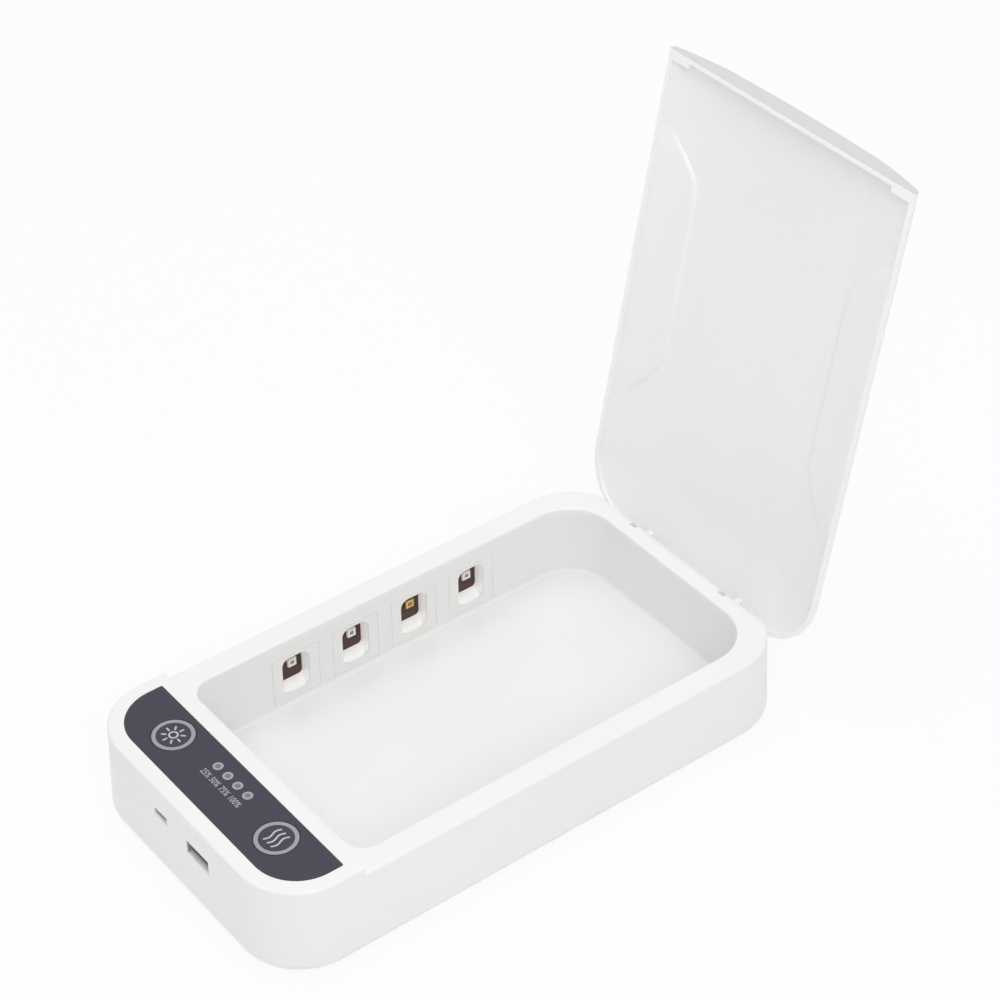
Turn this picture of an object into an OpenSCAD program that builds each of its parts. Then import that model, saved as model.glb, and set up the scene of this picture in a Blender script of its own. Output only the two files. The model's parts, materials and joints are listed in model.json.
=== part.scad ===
// UV sanitizer box for phones: lidded tray with lamp pockets, a raised control deck and two ports.
// Origin: centre of the base on the table. +Z is up, -Y is the deck end, +Y is the hinge end.

/* [Case] */
// Length of the case at its rim
case_length = 216; // [206:1:236]
// Width of the case at its rim
case_width = 118.8; // [114:0.2:130]
// Height of the rim above the table
rim_height = 33.4; // [32.8:0.2:40]
// Rise of the control deck above the rim
deck_rise = 3.1; // [2.4:0.1:4]
// Length of the control deck from the front face to its back edge
deck_length = 33; // [32:0.5:40]
// Corner radius of the case in plan
corner_radius = 22.5; // [21:0.5:25]
// How far each wall leans outward from the rim to the table
wall_spread = 1.4; // [0.6:0.1:1.8]
// Wall thickness of the case
case_wall = 2.2; // [1.8:0.1:2.4]
// Thickness of the rim around the tray
rim_thickness = 2.2; // [1.8:0.1:2.6]
// Thickness of the deck's top plate
deck_plate = 3; // [2.8:0.1:3.4]
// Rounding of the top edges
top_rounding = 1; // [0.6:0.1:1.4]
// Rounding of the rim's back edge, under the lid's hinge end
hinge_edge_rounding = 4.5; // [3.6:0.1:5]
// Rounding of the bottom edge
bottom_rounding = 5; // [4.4:0.1:5.6]

/* [Bottom cover] */
// Thickness of the bottom cover's plate
cover_plate = 2; // [1.8:0.1:2.3]
// Height of the locating lip above the plate
cover_lip_height = 3; // [2:0.5:4]
// Thickness of the locating lip
cover_lip_thickness = 1.2; // [0.9:0.1:1.4]
// Clearance of the locating lip inside the case
cover_lip_gap = 0.2; // [0.1:0.05:0.4]
// Radius of the pads that carry the tray
pad_radius = 6; // [4:0.5:8]

/* [Tray] */
// Width of the rim beside the tray
rim_side = 9.3; // [9:0.1:9.8]
// Width of the rim behind the tray
rim_back = 8.8; // [8.7:0.1:9.6]
// Width of the ledge between the deck and the tray
rim_front = 3.6; // [3.2:0.1:4.4]
// Corner radius of the tray at the deck end
tray_corner_front = 7.7; // [6:0.1:9]
// Corner radius of the tray at the hinge end
tray_corner_back = 17.6; // [16.5:0.1:19]
// Thickness of the tray's walls
tray_wall = 2; // [1.6:0.1:2]
// Thickness of the tray's floor
tray_floor = 1.7; // [1.4:0.1:2]
// Height of the tray's floor, inside, above the table
tray_floor_height = 4; // [4:0.1:4.6]
// Fillet between the tray's walls and floor
tray_fillet = 1.5; // [1:0.1:2]
// Rounding of the rim's inner edge
rim_inner_rounding = 0.8; // [0.5:0.1:1.2]

/* [Control panel] */
// Inset of the dark panel from the deck's long sides
panel_side_inset = 5.5; // [5:0.1:6.5]
// Inset of the dark panel from the deck's front face
panel_front_inset = 6; // [5:0.1:7]
// Distance of the dark panel from the deck's back edge
panel_back_inset = 4.6; // [4:0.1:5]
// Thickness of the dark panel
panel_thickness = 1.2; // [1:0.1:1.3]
// Depth of the dark panel's face below the deck
panel_sink = 0.1; // [0:0.05:0.2]
// Clearance around the dark panel
panel_gap = 0.15; // [0.1:0.05:0.25]

/* [Keys] */
// Distance between the two keys' centres
key_pitch = 61.5; // [58:0.5:64]
// Distance of the keys and their switches from the front face
key_from_front = 18.4; // [18:0.1:18.8]
// Radius of a key's cap
key_radius = 7.7; // [7.6:0.1:8.2]
// Clearance between a key's cap and the panel
key_gap = 0.15; // [0.1:0.05:0.25]
// Width of the hidden flange that holds a key under the panel
key_flange = 0.9; // [0.7:0.1:1.1]
// Thickness of the hidden flange
key_flange_thickness = 0.5; // [0.4:0.1:0.8]
// Travel of a key
key_travel = 0.4; // [0.2:0.05:0.45]
// Radius of a key's stem
key_stem_radius = 2; // [1.8:0.1:2.4]
// Outer radius of the pale ring on a key
ring_radius = 7.4; // [7:0.1:7.5]
// Width of the pale ring
ring_width = 1.4; // [1.2:0.1:2]
// Depth of the pale ring
ring_depth = 0.5; // [0.4:0.1:0.6]
// Side of a tactile switch
switch_side = 6; // [5:0.5:7]
// Height of a tactile switch's body
switch_height = 3.4; // [3:0.1:3.4]
// Radius of a tactile switch's plunger
plunger_radius = 1.7; // [1.4:0.1:1.8]
// Stand of the plunger above the switch's body
plunger_stand = 0.65; // [0.55:0.05:0.9]
// Depth of the plunger inside the switch
plunger_depth = 0.85; // [0.6:0.05:1]

/* [Charge lights] */
// Distance between two lights
light_pitch = 5.88; // [5.2:0.02:6.4]
// Distance of the lights from the front face
lights_from_front = 21.9; // [21:0.1:22.2]
// Radius of a light's head
light_radius = 1.75; // [1.5:0.05:1.9]
// Radius of a light's leg
light_leg_radius = 1.3; // [1:0.1:1.4]
// Width of the bar that joins the lights
light_bar_width = 4.2; // [4:0.1:4.8]
// Thickness of the bar that joins the lights
light_bar_thickness = 0.9; // [0.7:0.1:1]
// Height of an indicator lamp on the board
indicator_height = 0.7; // [0.5:0.1:1]

/* [Control board] */
// Drop of the board's top face below the deck's plate
board_drop = 5.05; // [4.9:0.05:5.4]
// Thickness of the board
board_thickness = 1.6; // [1.2:0.1:1.6]
// Distance of the board's sides from the sides of the case
board_side_inset = 14.9; // [13.9:0.1:16.4]
// Distance of the board's front edge from the front face
board_from_front = 4; // [3.6:0.1:5]
// Depth of the board
board_depth = 25; // [24:0.1:25.6]
// Side of the controller chip
chip_side = 9; // [6:0.5:10]
// Thickness of the controller chip
chip_thickness = 1.2; // [0.8:0.1:1.6]
// Inset of the board screws from the board's edges
board_screw_inset = 3.1; // [2.8:0.1:3.4]
// Radius of the bosses that carry the board
board_boss_radius = 2.3; // [2:0.1:2.5]
// Radius of the board screws
board_screw_radius = 0.9; // [0.7:0.05:1]
// Radius of the board screws' heads
board_screw_head = 1.8; // [1.5:0.1:2]
// Thickness of the board screws' heads
board_screw_head_thickness = 1.2; // [0.8:0.1:1.4]
// Length of the board screws under their heads
board_screw_length = 5; // [4:0.5:6]
// Clearance of screws in their holes
screw_gap = 0.05; // [0.03:0.01:0.1]

/* [Ports] */
// Place of the USB outlet across the front
usb_x = 11.4; // [10:0.1:13]
// Width of the USB outlet's shell
usb_width = 13.1; // [12.9:0.1:13.3]
// Height of the USB outlet's shell
usb_height = 5.7; // [5.5:0.1:5.9]
// Length of the USB outlet's shell
usb_length = 14; // [12:0.5:16]
// Wall of the USB outlet's shell
usb_shell = 0.3; // [0.25:0.05:0.4]
// Place of the micro-USB inlet across the front
micro_x = -10.9; // [-13:0.1:-9]
// Width of the micro-USB inlet's shell
micro_width = 7.5; // [7.2:0.1:7.7]
// Height of the micro-USB inlet's shell
micro_height = 2.9; // [2.6:0.1:3]
// Length of the micro-USB inlet's shell
micro_length = 6; // [5:0.5:8]
// Wall of the micro-USB inlet's shell
micro_shell = 0.25; // [0.2:0.05:0.3]
// Clearance of both ports in the case's wall
port_gap = 0.15; // [0.1:0.05:0.3]
// Depth of both ports' mouths behind the outer face of the wall
port_sink = 0.2; // [0.1:0.05:0.4]

/* [Lamps] */
// Distance between two lamp pockets
window_pitch = 25.75; // [22:0.05:28]
// Place of the row of pockets ahead of or behind the tray's middle
window_offset = -3.2; // [-8:0.1:4]
// Width of a pocket's opening
pocket_width = 11.4; // [10:0.1:12.4]
// Height of a pocket's opening
pocket_height = 16.2; // [14:0.1:16.6]
// Height of a pocket's lower edge above the tray's floor
pocket_lift = 4.6; // [4.2:0.1:5]
// Rounding of a pocket's corners
pocket_rounding = 3.2; // [2:0.1:4]
// Width of the frame plate around a pocket
frame_width = 19.6; // [17:0.1:20.6]
// Height of the frame plate
frame_height = 20.2; // [19.6:0.1:20.8]
// Height of the frame plate's lower edge above the tray's floor
frame_lift = 1.7; // [1.5:0.1:2]
// Wall of the light tube behind the frame plate
tube_wall = 1.1; // [0.8:0.1:1.3]
// Depth of a pocket from the tray's wall to the lamp board
pocket_depth = 5.3; // [4.8:0.1:5.3]
// Rise of a pocket's sloped floor from the tray's wall to the lamp board
pocket_rise = 1.8; // [1.2:0.1:2.4]
// Corner rounding of a pocket's sloped floor
pocket_floor_rounding = 1.6; // [1:0.1:2]
// Clearance around the frame plate
frame_gap = 0.1; // [0.05:0.05:0.2]
// Thickness of a lamp board
lamp_board_thickness = 0.9; // [0.6:0.1:1]
// Side of a lamp chip
lamp_side = 3.5; // [2.8:0.1:4]
// Thickness of a lamp chip
lamp_thickness = 1.2; // [0.8:0.1:1.6]
// Height of the lamp chips above the pockets' lower edges
lamp_lift = 9.2; // [7:0.1:10.5]
// Place of a lamp chip beside its pocket's middle, towards the hinge
lamp_shift = 1.2; // [0:0.1:1.6]
// Thickness of the flat cables
cable_thickness = 0.6; // [0.4:0.1:0.8]
// Width of the flat cables
cable_width = 4; // [3:0.5:5]

/* [Lid] */
// Gap between the closed lid and the deck
lid_front_gap = 0.4; // [0.3:0.1:0.8]
// Gap between the closed lid and the rim
lid_rest_gap = 0.3; // [0.2:0.05:0.4]
// Overhang of the closed lid beside the case
lid_side_overhang = 0.95; // [0.4:0.05:1.4]
// Overhang of the closed lid behind the case
lid_back_overhang = 1; // [0.6:0.1:1.4]
// Corner radius of the lid at the hinge end
lid_corner_radius = 24; // [23:0.5:26]
// Height of the dome's foot above the lid's lower face
lid_edge_height = 2.77; // [2.4:0.01:3.2]
// Rounding of the lid's outer edge
lid_edge_rounding = 2.05; // [1.6:0.05:2.3]
// Slope of the dome at its foot, in degrees
lid_foot_slope = 16.5; // [14:0.5:18]
// Radius of the dome's shoulder
lid_shoulder_radius = 116; // [108:1:126]
// Radius of the dome's crown
lid_crown_radius = 641; // [560:1:800]
// Shell thickness of the lid
lid_shell_thickness = 1.8; // [1.4:0.1:2]
// Thickness of the lid's side and back walls
lid_side_wall = 1.9; // [1.6:0.1:2.2]
// Thickness of the lid's front wall
lid_front_wall = 2; // [1.8:0.1:2.4]
// Added thickness of the front wall at the two magnet seats
magnet_seat = 2; // [1.8:0.1:2.2]

/* [Hinge] */
// Opening angle of the lid as modelled
open_angle = 101.2; // [95:0.1:104]
// Distance of the hinge axis from the case's back face
hinge_inset = 2.97; // [2.8:0.01:3.2]
// Depth of the hinge axis below the rim
hinge_depth = 7.05; // [6.9:0.01:7.4]
// Place of each hinge arm beside the middle
hinge_arm_x = 24.6; // [20:0.1:32]
// Thickness of a hinge arm
arm_thickness = 2.6; // [2.2:0.1:3]
// Clearance of a hinge arm in its slot
arm_gap = 0.25; // [0.2:0.05:0.35]
// Distance of a hinge arm's front face from the hinge axis, with the lid closed
arm_reach = 0.8; // [0.5:0.1:1.4]
// Radius of a hinge arm's eye
arm_eye_radius = 2.6; // [2.3:0.1:2.7]
// Radius of the hinge pins
pin_radius = 1; // [0.8:0.05:1.1]
// Running clearance of an arm on its pin
pin_gap = 0.05; // [0.02:0.01:0.09]
// Thickness of the ears that hold a hinge pin
ear_thickness = 2.2; // [1.8:0.1:2.6]

/* [Magnets] */
// Distance of each magnet from the side of the case
magnet_inset = 6; // [5.8:0.1:6.4]
// Length of a magnet
magnet_length = 4.8; // [4:0.1:5]
// Width of a magnet
magnet_width = 2.4; // [2:0.1:2.6]
// Thickness of a lid magnet
lid_magnet_thickness = 1.1; // [0.8:0.1:1.2]
// Thickness of a case magnet
case_magnet_thickness = 1.6; // [1.2:0.1:2]
// Clearance of the lid magnets in their pockets
magnet_gap = 0.05; // [0.03:0.01:0.1]

/* [Cover screws] */
// Distance of the front screws from the sides of the case
front_screw_inset = 7.9; // [7.4:0.1:8.6]
// Distance of the front screws from the front face
front_screw_from_front = 21; // [20:0.5:22]
// Distance of the back screws from the corner's centre
back_screw_reach = 17.2; // [17:0.1:17.5]
// Radius of the screw bosses
boss_radius = 2.8; // [2.4:0.1:2.9]
// Height of the screw wells in the bottom cover
well_height = 6; // [5.5:0.1:6.5]
// Outer radius of the screw wells
well_radius = 3.2; // [3:0.05:3.3]
// Radius of the recess for a screw's head
recess_radius = 2.5; // [2.3:0.05:2.5]
// Thickness of the seat under a screw's head
seat_thickness = 1.8; // [1.4:0.1:2]
// Radius of the cover screws
screw_radius = 1.2; // [1:0.05:1.3]
// Length of the cover screws under their heads
screw_length = 9; // [7:0.5:12]
// Radius of the cover screws' heads
screw_head_radius = 2.2; // [2:0.05:2.2]
// Thickness of the cover screws' heads
screw_head_thickness = 1.5; // [1.2:0.1:1.6]
// Thickness of the screw plugs
plug_thickness = 2.4; // [1.6:0.1:2.4]
// Clearance of the screw plugs
plug_gap = 0.1; // [0.05:0.05:0.2]

/* [Fragrance unit] */
// Width of the grille in the tray's front wall
grille_width = 24; // [20:0.5:30]
// Height of the grille
grille_height = 12; // [10:0.5:13]
// Height of the grille's lower edge above the tray's floor
grille_lift = 6; // [5:0.5:8]
// Count of the grille's slots
grille_slots = 5; // [3:1:7]
// Width of a slot
grille_slot_width = 1.6; // [1.2:0.1:2]
// Margin of the slots from the grille's edges
grille_margin = 2; // [1.5:0.1:2.5]
// Thickness of the fragrance pad
fragrance_pad_thickness = 2.2; // [1.6:0.1:2.4]
// Thickness of the heater plate
heater_thickness = 0.9; // [0.6:0.1:1]
// Clearance between the pad and its neighbours
fragrance_gap = 0.1; // [0.05:0.05:0.2]

/* [Hidden] */

white = [0.94, 0.94, 0.93];
inner_white = [0.9, 0.9, 0.9];
steel = [0.72, 0.73, 0.75];
board_green = [0.12, 0.35, 0.2];
board_brown = [0.42, 0.3, 0.24];
black = [0.1, 0.1, 0.11];
far = 400;

// Heights
deck_height = rim_height + deck_rise;
deck_under = deck_height - deck_plate;
rim_under = rim_height - rim_thickness;
panel_top = deck_height - panel_sink;
panel_under = panel_top - panel_thickness;
board_top = deck_under - board_drop;
board_under = board_top - board_thickness;
tray_under = tray_floor_height - tray_floor;

// Lengths
front_y = -case_length / 2;
back_y = case_length / 2;
deck_back = front_y + deck_length;
tray_front_y = deck_back + rim_front;
tray_back_y = back_y - rim_back;
tray_length = tray_back_y - tray_front_y;
tray_y = (tray_front_y + tray_back_y) / 2;
tray_width = case_width - 2 * rim_side;
key_y = front_y + key_from_front;
lights_y = front_y + lights_from_front;
board_front_y = front_y + board_from_front;
board_back_y = board_front_y + board_depth;
corner_x = case_width / 2 - corner_radius;
corner_y = case_length / 2 - corner_radius;

// Lean of the outer wall at height z, measured outward from the rim's outline
function lean(z) = wall_spread * max(0, 1 - z / (rim_height - top_rounding));
foot = lean(bottom_rounding);
hinge_edge_y = back_y + lean(rim_height - hinge_edge_rounding) - hinge_edge_rounding;

// Place of both keys, the board screws and the cover screws
keys = [-key_pitch / 2, key_pitch / 2];
board_width = case_width - 2 * board_side_inset;
board_screw_x = board_width / 2 - board_screw_inset;
board_screw_y = [board_front_y + board_screw_inset + 2, board_back_y - board_screw_inset];
front_screw_x = case_width / 2 - front_screw_inset;
screw_places = [
    for (s = [-1, 1]) [s * front_screw_x, front_y + front_screw_from_front],
    for (s = [-1, 1]) [s * (corner_x + back_screw_reach * cos(45)), corner_y + back_screw_reach * sin(45)]
];

// Ports hang under the board
usb_z = board_under - 0.1 - usb_height / 2;
micro_z = board_under - 0.1 - micro_height / 2;
function wall_face(z) = front_y - lean(z);

// Lamp pockets
tray_face = tray_width / 2;
windows_y = [for (i = [0:3]) tray_y + window_offset + (i - 1.5) * window_pitch];
pocket_z = tray_floor_height + pocket_lift;
lamp_z = pocket_z + lamp_lift;
frame_z = tray_floor_height + frame_lift;
lamp_face = tray_face + pocket_depth + frame_gap;

// Lid, as it lies closed
lid_front_y = deck_back + lid_front_gap;
lid_back_y = back_y + lid_back_overhang;
lid_z = rim_height + lid_rest_gap;
lid_width = case_width + 2 * lid_side_overhang;
axis_y = back_y - hinge_inset;
axis_z = rim_height - hinge_depth;
shoulder_e = -lid_edge_rounding - lid_shoulder_radius * sin(lid_foot_slope);
shoulder_w = lid_edge_height - lid_shoulder_radius * cos(lid_foot_slope);
// Height of the shoulder above the corner's centre, where the crowns take over
shoulder_rise = shoulder_w + sqrt(pow(lid_shoulder_radius, 2) - pow(-lid_corner_radius - shoulder_e, 2));
crown_reach = lid_width / 2 - lid_corner_radius;
crown_rise = shoulder_rise + lid_crown_radius - sqrt(pow(lid_crown_radius, 2) - pow(crown_reach, 2));
arm_front = lid_back_y - (axis_y - arm_reach);
arm_low = lid_back_y - axis_y - arm_eye_radius + 0.15;
slot_width = arm_thickness + 2 * arm_gap;

// Magnets
magnet_x = case_width / 2 - magnet_inset;
magnet_y = lid_front_y + lid_front_wall + magnet_seat - magnet_width / 2;

// Fragrance unit behind the tray's front wall
grille_z = tray_floor_height + grille_lift;
pad_back = tray_front_y - tray_wall - fragrance_gap;
heater_back = pad_back - fragrance_pad_thickness - fragrance_gap;

// Sweeps a flat profile around a rounded rectangle; profile x counts outward from the outline
module pillow(w, l, rf, rb) {
    for (s = [0, 1]) mirror([s, 0, 0]) {
        translate([w / 2, l / 2 - rb, 0]) rotate([90, 0, 0]) linear_extrude(l - rf - rb) inward(w / 2) children();
        translate([w / 2 - rf, -l / 2 + rf, 0]) rotate([0, 0, -90]) rotate_extrude(angle = 90, $fn = 96)
            from_axis() translate([rf, 0]) children();
        translate([w / 2 - rb, l / 2 - rb, 0]) rotate_extrude(angle = 90, $fn = 96)
            from_axis() translate([rb, 0]) children();
    }
    translate([0, -l / 2, 0]) rotate([0, 0, -90]) rotate([90, 0, 0]) linear_extrude(w - 2 * rf, center = true)
        inward(rf) children();
    translate([0, l / 2, 0]) rotate([0, 0, 90]) rotate([90, 0, 0]) linear_extrude(w - 2 * rb, center = true)
        inward(rb) children();
}

// Keeps the part of a profile that lies no deeper than d inside the outline
module inward(d) {
    intersection() {
        union() children();
        translate([-d, -far]) square([d + 20, 2 * far]);
    }
}

// Keeps the part of a profile on the outer side of the turning axis
module from_axis() {
    intersection() {
        union() children();
        translate([0, -far]) square([far, 2 * far]);
    }
}

// Outline with rounded corners, standing from z0 to z1
module slab(w, l, rf, rb, z0, z1) {
    translate([0, 0, z0]) linear_extrude(z1 - z0) outline(w, l, rf, rb);
}

module outline(w, l, rf, rb) {
    difference() {
        square([w, l], center = true);
        for (s = [0, 1]) mirror([s, 0]) {
            translate([w / 2, -l / 2]) corner_cut(rf, 1);
            translate([w / 2, l / 2]) corner_cut(rb, -1);
        }
    }
}

module corner_cut(r, s) {
    difference() {
        translate([-r, s > 0 ? -1 : -r]) square([r + 1, r + 1]);
        translate([-r, s * r]) circle(r, $fn = 96);
    }
}

// Outer section of the case up to height top, its upper edge rounded
module case_section(top) {
    polygon([[-far, bottom_rounding], [foot, bottom_rounding], [0, rim_height - top_rounding],
        [0, top - top_rounding], [-far, top - top_rounding]]);
    bottom_section();
    top_section(0, top);
}

// Rounded upper edge of a section, its face at e
module top_section(e, top) {
    translate([-far, top - top_rounding]) square([far + e - top_rounding, top_rounding]);
    intersection() {
        translate([e - top_rounding, top - top_rounding]) circle(top_rounding, $fn = 48);
        translate([e - top_rounding, top - top_rounding]) square(top_rounding);
    }
}

// Lower edge of the case and its cover
module bottom_section() {
    translate([-far, 0]) square([far + foot - bottom_rounding, bottom_rounding]);
    intersection() {
        translate([foot - bottom_rounding, bottom_rounding]) circle(bottom_rounding, $fn = 96);
        translate([foot - bottom_rounding, 0]) square(bottom_rounding);
    }
}

// Inner section of the case
module case_hollow(top) {
    polygon([[-far, -1], [lean(-1) - case_wall, -1], [-case_wall, rim_height - top_rounding],
        [-case_wall, top], [-far, top]]);
}

module case_form() {
    intersection() {
        pillow(case_width, case_length, corner_radius, corner_radius) case_section(deck_height);
        union() {
            translate([-far / 2, -far, cover_plate]) cube([far, far + deck_back, far]);
            pillow(case_width + 4, case_length + 4, corner_radius + 2, corner_radius + 2) {
                translate([-far, cover_plate]) square([far, rim_height - top_rounding - cover_plate]);
                top_section(-2, rim_height);
            }
        }
    }
}

module tray_place() {
    translate([0, tray_y, 0]) children();
}

module mirrored() {
    children();
    mirror([1, 0, 0]) children();
}

module rod(place, r, z0, z1) {
    translate([place[0], place[1], z0]) cylinder(r = r, h = z1 - z0, $fn = 48);
}

module port_hole(x, z, w, h) {
    translate([x, wall_face(z) - 5, z]) rotate([-90, 0, 0]) linear_extrude(5 + case_wall + wall_spread + 5)
        square([w + 2 * port_gap, h + 2 * port_gap], center = true);
}

module slots_for_arms() {
    for (s = [-1, 1]) translate([s * hinge_arm_x - slot_width / 2, 0, 0]) {
        translate([0, lid_back_y - arm_front - arm_gap, axis_z - arm_eye_radius - 1.15])
            cube([slot_width, 20, far]);
    }
}

module ears() {
    for (s = [-1, 1]) for (t = [-1, 1])
        translate([s * hinge_arm_x + t * (slot_width + ear_thickness) / 2 - ear_thickness / 2, 0, 0])
            translate([0, axis_y - pin_radius - 1.9, axis_z - pin_radius - 2])
                cube([ear_thickness, hinge_inset + pin_radius + 1, rim_under - axis_z + pin_radius + 2.5]);
}

module along_axis(x, r, len) {
    translate([x - len / 2, axis_y, axis_z]) rotate([0, 90, 0]) cylinder(r = r, h = len, $fn = 48);
}

module main_housing() {
    color(white) difference() {
        union() {
            difference() {
                case_form();
                // rounded back edge of the rim
                difference() {
                    translate([-far / 2, hinge_edge_y, rim_height - hinge_edge_rounding]) cube([far, far, far]);
                    translate([-far / 2 - 1, hinge_edge_y, rim_height - hinge_edge_rounding])
                        rotate([0, 90, 0]) cylinder(r = hinge_edge_rounding, h = far + 2, $fn = 96);
                }
                pillow(case_width, case_length, corner_radius, corner_radius) case_hollow(rim_under);
                intersection() {
                    pillow(case_width, case_length, corner_radius, corner_radius) case_hollow(deck_under);
                    translate([-far / 2, -far, 0]) cube([far, far + deck_back - case_wall, far]);
                }
                // opening of the tray
                tray_place() pillow(tray_width, tray_length, tray_corner_front, tray_corner_back) {
                    translate([-far, rim_under - 1]) square([far, rim_thickness + 2]);
                    difference() {
                        translate([-1, rim_height - rim_inner_rounding]) square([1 + rim_inner_rounding, 5]);
                        translate([rim_inner_rounding, rim_height - rim_inner_rounding])
                            circle(rim_inner_rounding, $fn = 48);
                    }
                }
                panel_recess();
            }
            intersection() {
                union() {
                    // bosses of the bottom cover's screws
                    for (p = screw_places) rod(p, boss_radius, well_height, rim_under + 0.5);
                    for (p = screw_places) if (p[1] < 0) rod(p, boss_radius, well_height, deck_under + 0.5);
                    // bosses of the control board's screws
                    for (x = [-board_screw_x, board_screw_x]) for (y = board_screw_y)
                        rod([x, y], board_boss_radius, board_top, deck_under + 0.5);
                    ears();
                }
                case_form();
            }
        }
        for (p = screw_places)
            rod(p, screw_radius + screw_gap, well_height - 1, well_height + screw_length - seat_thickness + 1);
        for (x = [-board_screw_x, board_screw_x]) for (y = board_screw_y)
            rod([x, y], board_screw_radius + screw_gap, board_top - 1, board_under + board_screw_length + 0.3);
        slots_for_arms();
        mirrored() along_axis(hinge_arm_x, pin_radius + 0.02, slot_width + 2 * ear_thickness + 1);
        port_hole(usb_x, usb_z, usb_width, usb_height);
        port_hole(micro_x, micro_z, micro_width, micro_height);
    }
}

panel_width = case_width - 2 * panel_side_inset;
panel_length = deck_length - panel_front_inset - panel_back_inset;
panel_corner = corner_radius - panel_side_inset;
panel_y = front_y + panel_front_inset + panel_length / 2;
light_bar_length = 3 * light_pitch + light_bar_width;
lights_x = [for (i = [0:3]) (i - 1.5) * light_pitch];

// Seat of the panel with the openings under the keys and lights
module panel_recess() {
    translate([0, panel_y, 0])
        slab(panel_width + 2 * panel_gap, panel_length + 2 * panel_gap, panel_corner, 0.6, panel_under, far);
    for (x = keys) rod([x, key_y], key_radius + key_flange + 0.4, deck_under - 1, panel_under + 1);
    translate([0, lights_y, panel_under - light_bar_thickness - 0.1])
        linear_extrude(5) square([light_bar_length + 0.4, light_bar_width + 0.4], center = true);
    for (x = lights_x) rod([x, lights_y], light_leg_radius + 0.2, deck_under - 1, panel_under);
}

module control_panel() {
    color([0.31, 0.3, 0.36]) difference() {
        translate([0, panel_y, 0]) slab(panel_width, panel_length, panel_corner, 0.5, panel_under, panel_top);
        for (x = keys) rod([x, key_y], key_radius + key_gap, panel_under - 1, panel_top + 1);
        for (x = lights_x) rod([x, lights_y], light_radius + 0.05, panel_under - 1, panel_top + 1);
    }
}

plunger_top = board_top + switch_height + plunger_stand;

module button(x) {
    color([0.31, 0.3, 0.36]) difference() {
        union() {
            rod([x, key_y], key_radius, panel_under - 0.1, panel_top);
            rod([x, key_y], key_radius + key_flange, panel_under - 0.1 - key_flange_thickness, panel_under - 0.1);
            rod([x, key_y], key_stem_radius, plunger_top, panel_under - 0.1);
        }
        difference() {
            rod([x, key_y], ring_radius + 0.03, panel_top - ring_depth, panel_top + 1);
            rod([x, key_y], ring_radius - ring_width - 0.03, panel_top - ring_depth - 1, panel_top + 2);
        }
    }
}

module ring(x) {
    color([0.78, 0.77, 0.82]) difference() {
        rod([x, key_y], ring_radius, panel_top - ring_depth, panel_top);
        rod([x, key_y], ring_radius - ring_width, panel_top - ring_depth - 1, panel_top + 1);
    }
}

module switch(x) {
    color(black) difference() {
        translate([x, key_y, board_top]) linear_extrude(switch_height) square(switch_side, center = true);
        rod([x, key_y], plunger_radius + 0.08, plunger_top - plunger_stand - plunger_depth - key_travel - 0.1, far);
    }
}

module plunger(x) {
    color([0.85, 0.85, 0.85]) rod([x, key_y], plunger_radius, plunger_top - plunger_stand - plunger_depth, plunger_top);
}

module light_pipe() {
    color([0.85, 0.85, 0.9]) {
        translate([0, lights_y, panel_under - light_bar_thickness]) linear_extrude(light_bar_thickness)
            square([light_bar_length, light_bar_width], center = true);
        for (x = lights_x) rod([x, lights_y], light_radius, panel_under - 0.1, panel_top);
        for (x = lights_x) rod([x, lights_y], light_leg_radius, board_top + indicator_height + 0.3, panel_under);
    }
}

module indicator_led(i) {
    color([0.95, 0.95, 0.8]) translate([lights_x[i - 1], lights_y, board_top]) linear_extrude(indicator_height)
        square([1.6, 0.8], center = true);
}

module control_board() {
    color(board_green) difference() {
        translate([0, (board_front_y + board_back_y) / 2, 0])
            slab(board_width, board_depth, 3, 1, board_under, board_top);
        for (x = [-board_screw_x, board_screw_x]) for (y = board_screw_y)
            rod([x, y], board_screw_radius + screw_gap, board_under - 1, board_top + 1);
    }
}

module controller_chip() {
    color(black) translate([0, board_front_y + 2 + chip_side / 2, board_top]) linear_extrude(chip_thickness)
        square(chip_side, center = true);
}

module board_screws() {
    color(steel) for (x = [-board_screw_x, board_screw_x]) for (y = board_screw_y) difference() {
        union() {
            rod([x, y], board_screw_head, board_under - board_screw_head_thickness, board_under);
            rod([x, y], board_screw_radius, board_under - 0.1, board_under + board_screw_length);
        }
        screw_cross(x, y, board_under - board_screw_head_thickness, board_screw_head);
    }
}

// Cross recess in a screw's head
module screw_cross(x, y, z, r) {
    for (a = [0, 90]) translate([x, y, z]) rotate([0, 0, a])
        cube([1.2 * r, 0.4, 1], center = true);
}

module usb_socket() {
    mouth = wall_face(usb_z) + port_sink;
    color(steel) translate([usb_x, mouth, usb_z]) difference() {
        rotate([-90, 0, 0]) linear_extrude(usb_length) square([usb_width, usb_height], center = true);
        translate([0, -1, 0]) rotate([-90, 0, 0]) linear_extrude(usb_length + 2)
            square([usb_width - 2 * usb_shell, usb_height - 2 * usb_shell], center = true);
    }
}

module usb_tongue() {
    mouth = wall_face(usb_z) + port_sink;
    inner_w = usb_width - 2 * usb_shell - 0.1;
    inner_h = usb_height - 2 * usb_shell - 0.1;
    color(black) translate([usb_x, mouth, usb_z]) {
        translate([-inner_w / 2, usb_length - 3, -inner_h / 2]) cube([inner_w, 3, inner_h]);
        translate([-inner_w / 2 + 0.7, 1, inner_h / 2 - 2.4]) cube([inner_w - 1.4, usb_length - 3, 1.9]);
    }
}

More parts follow.
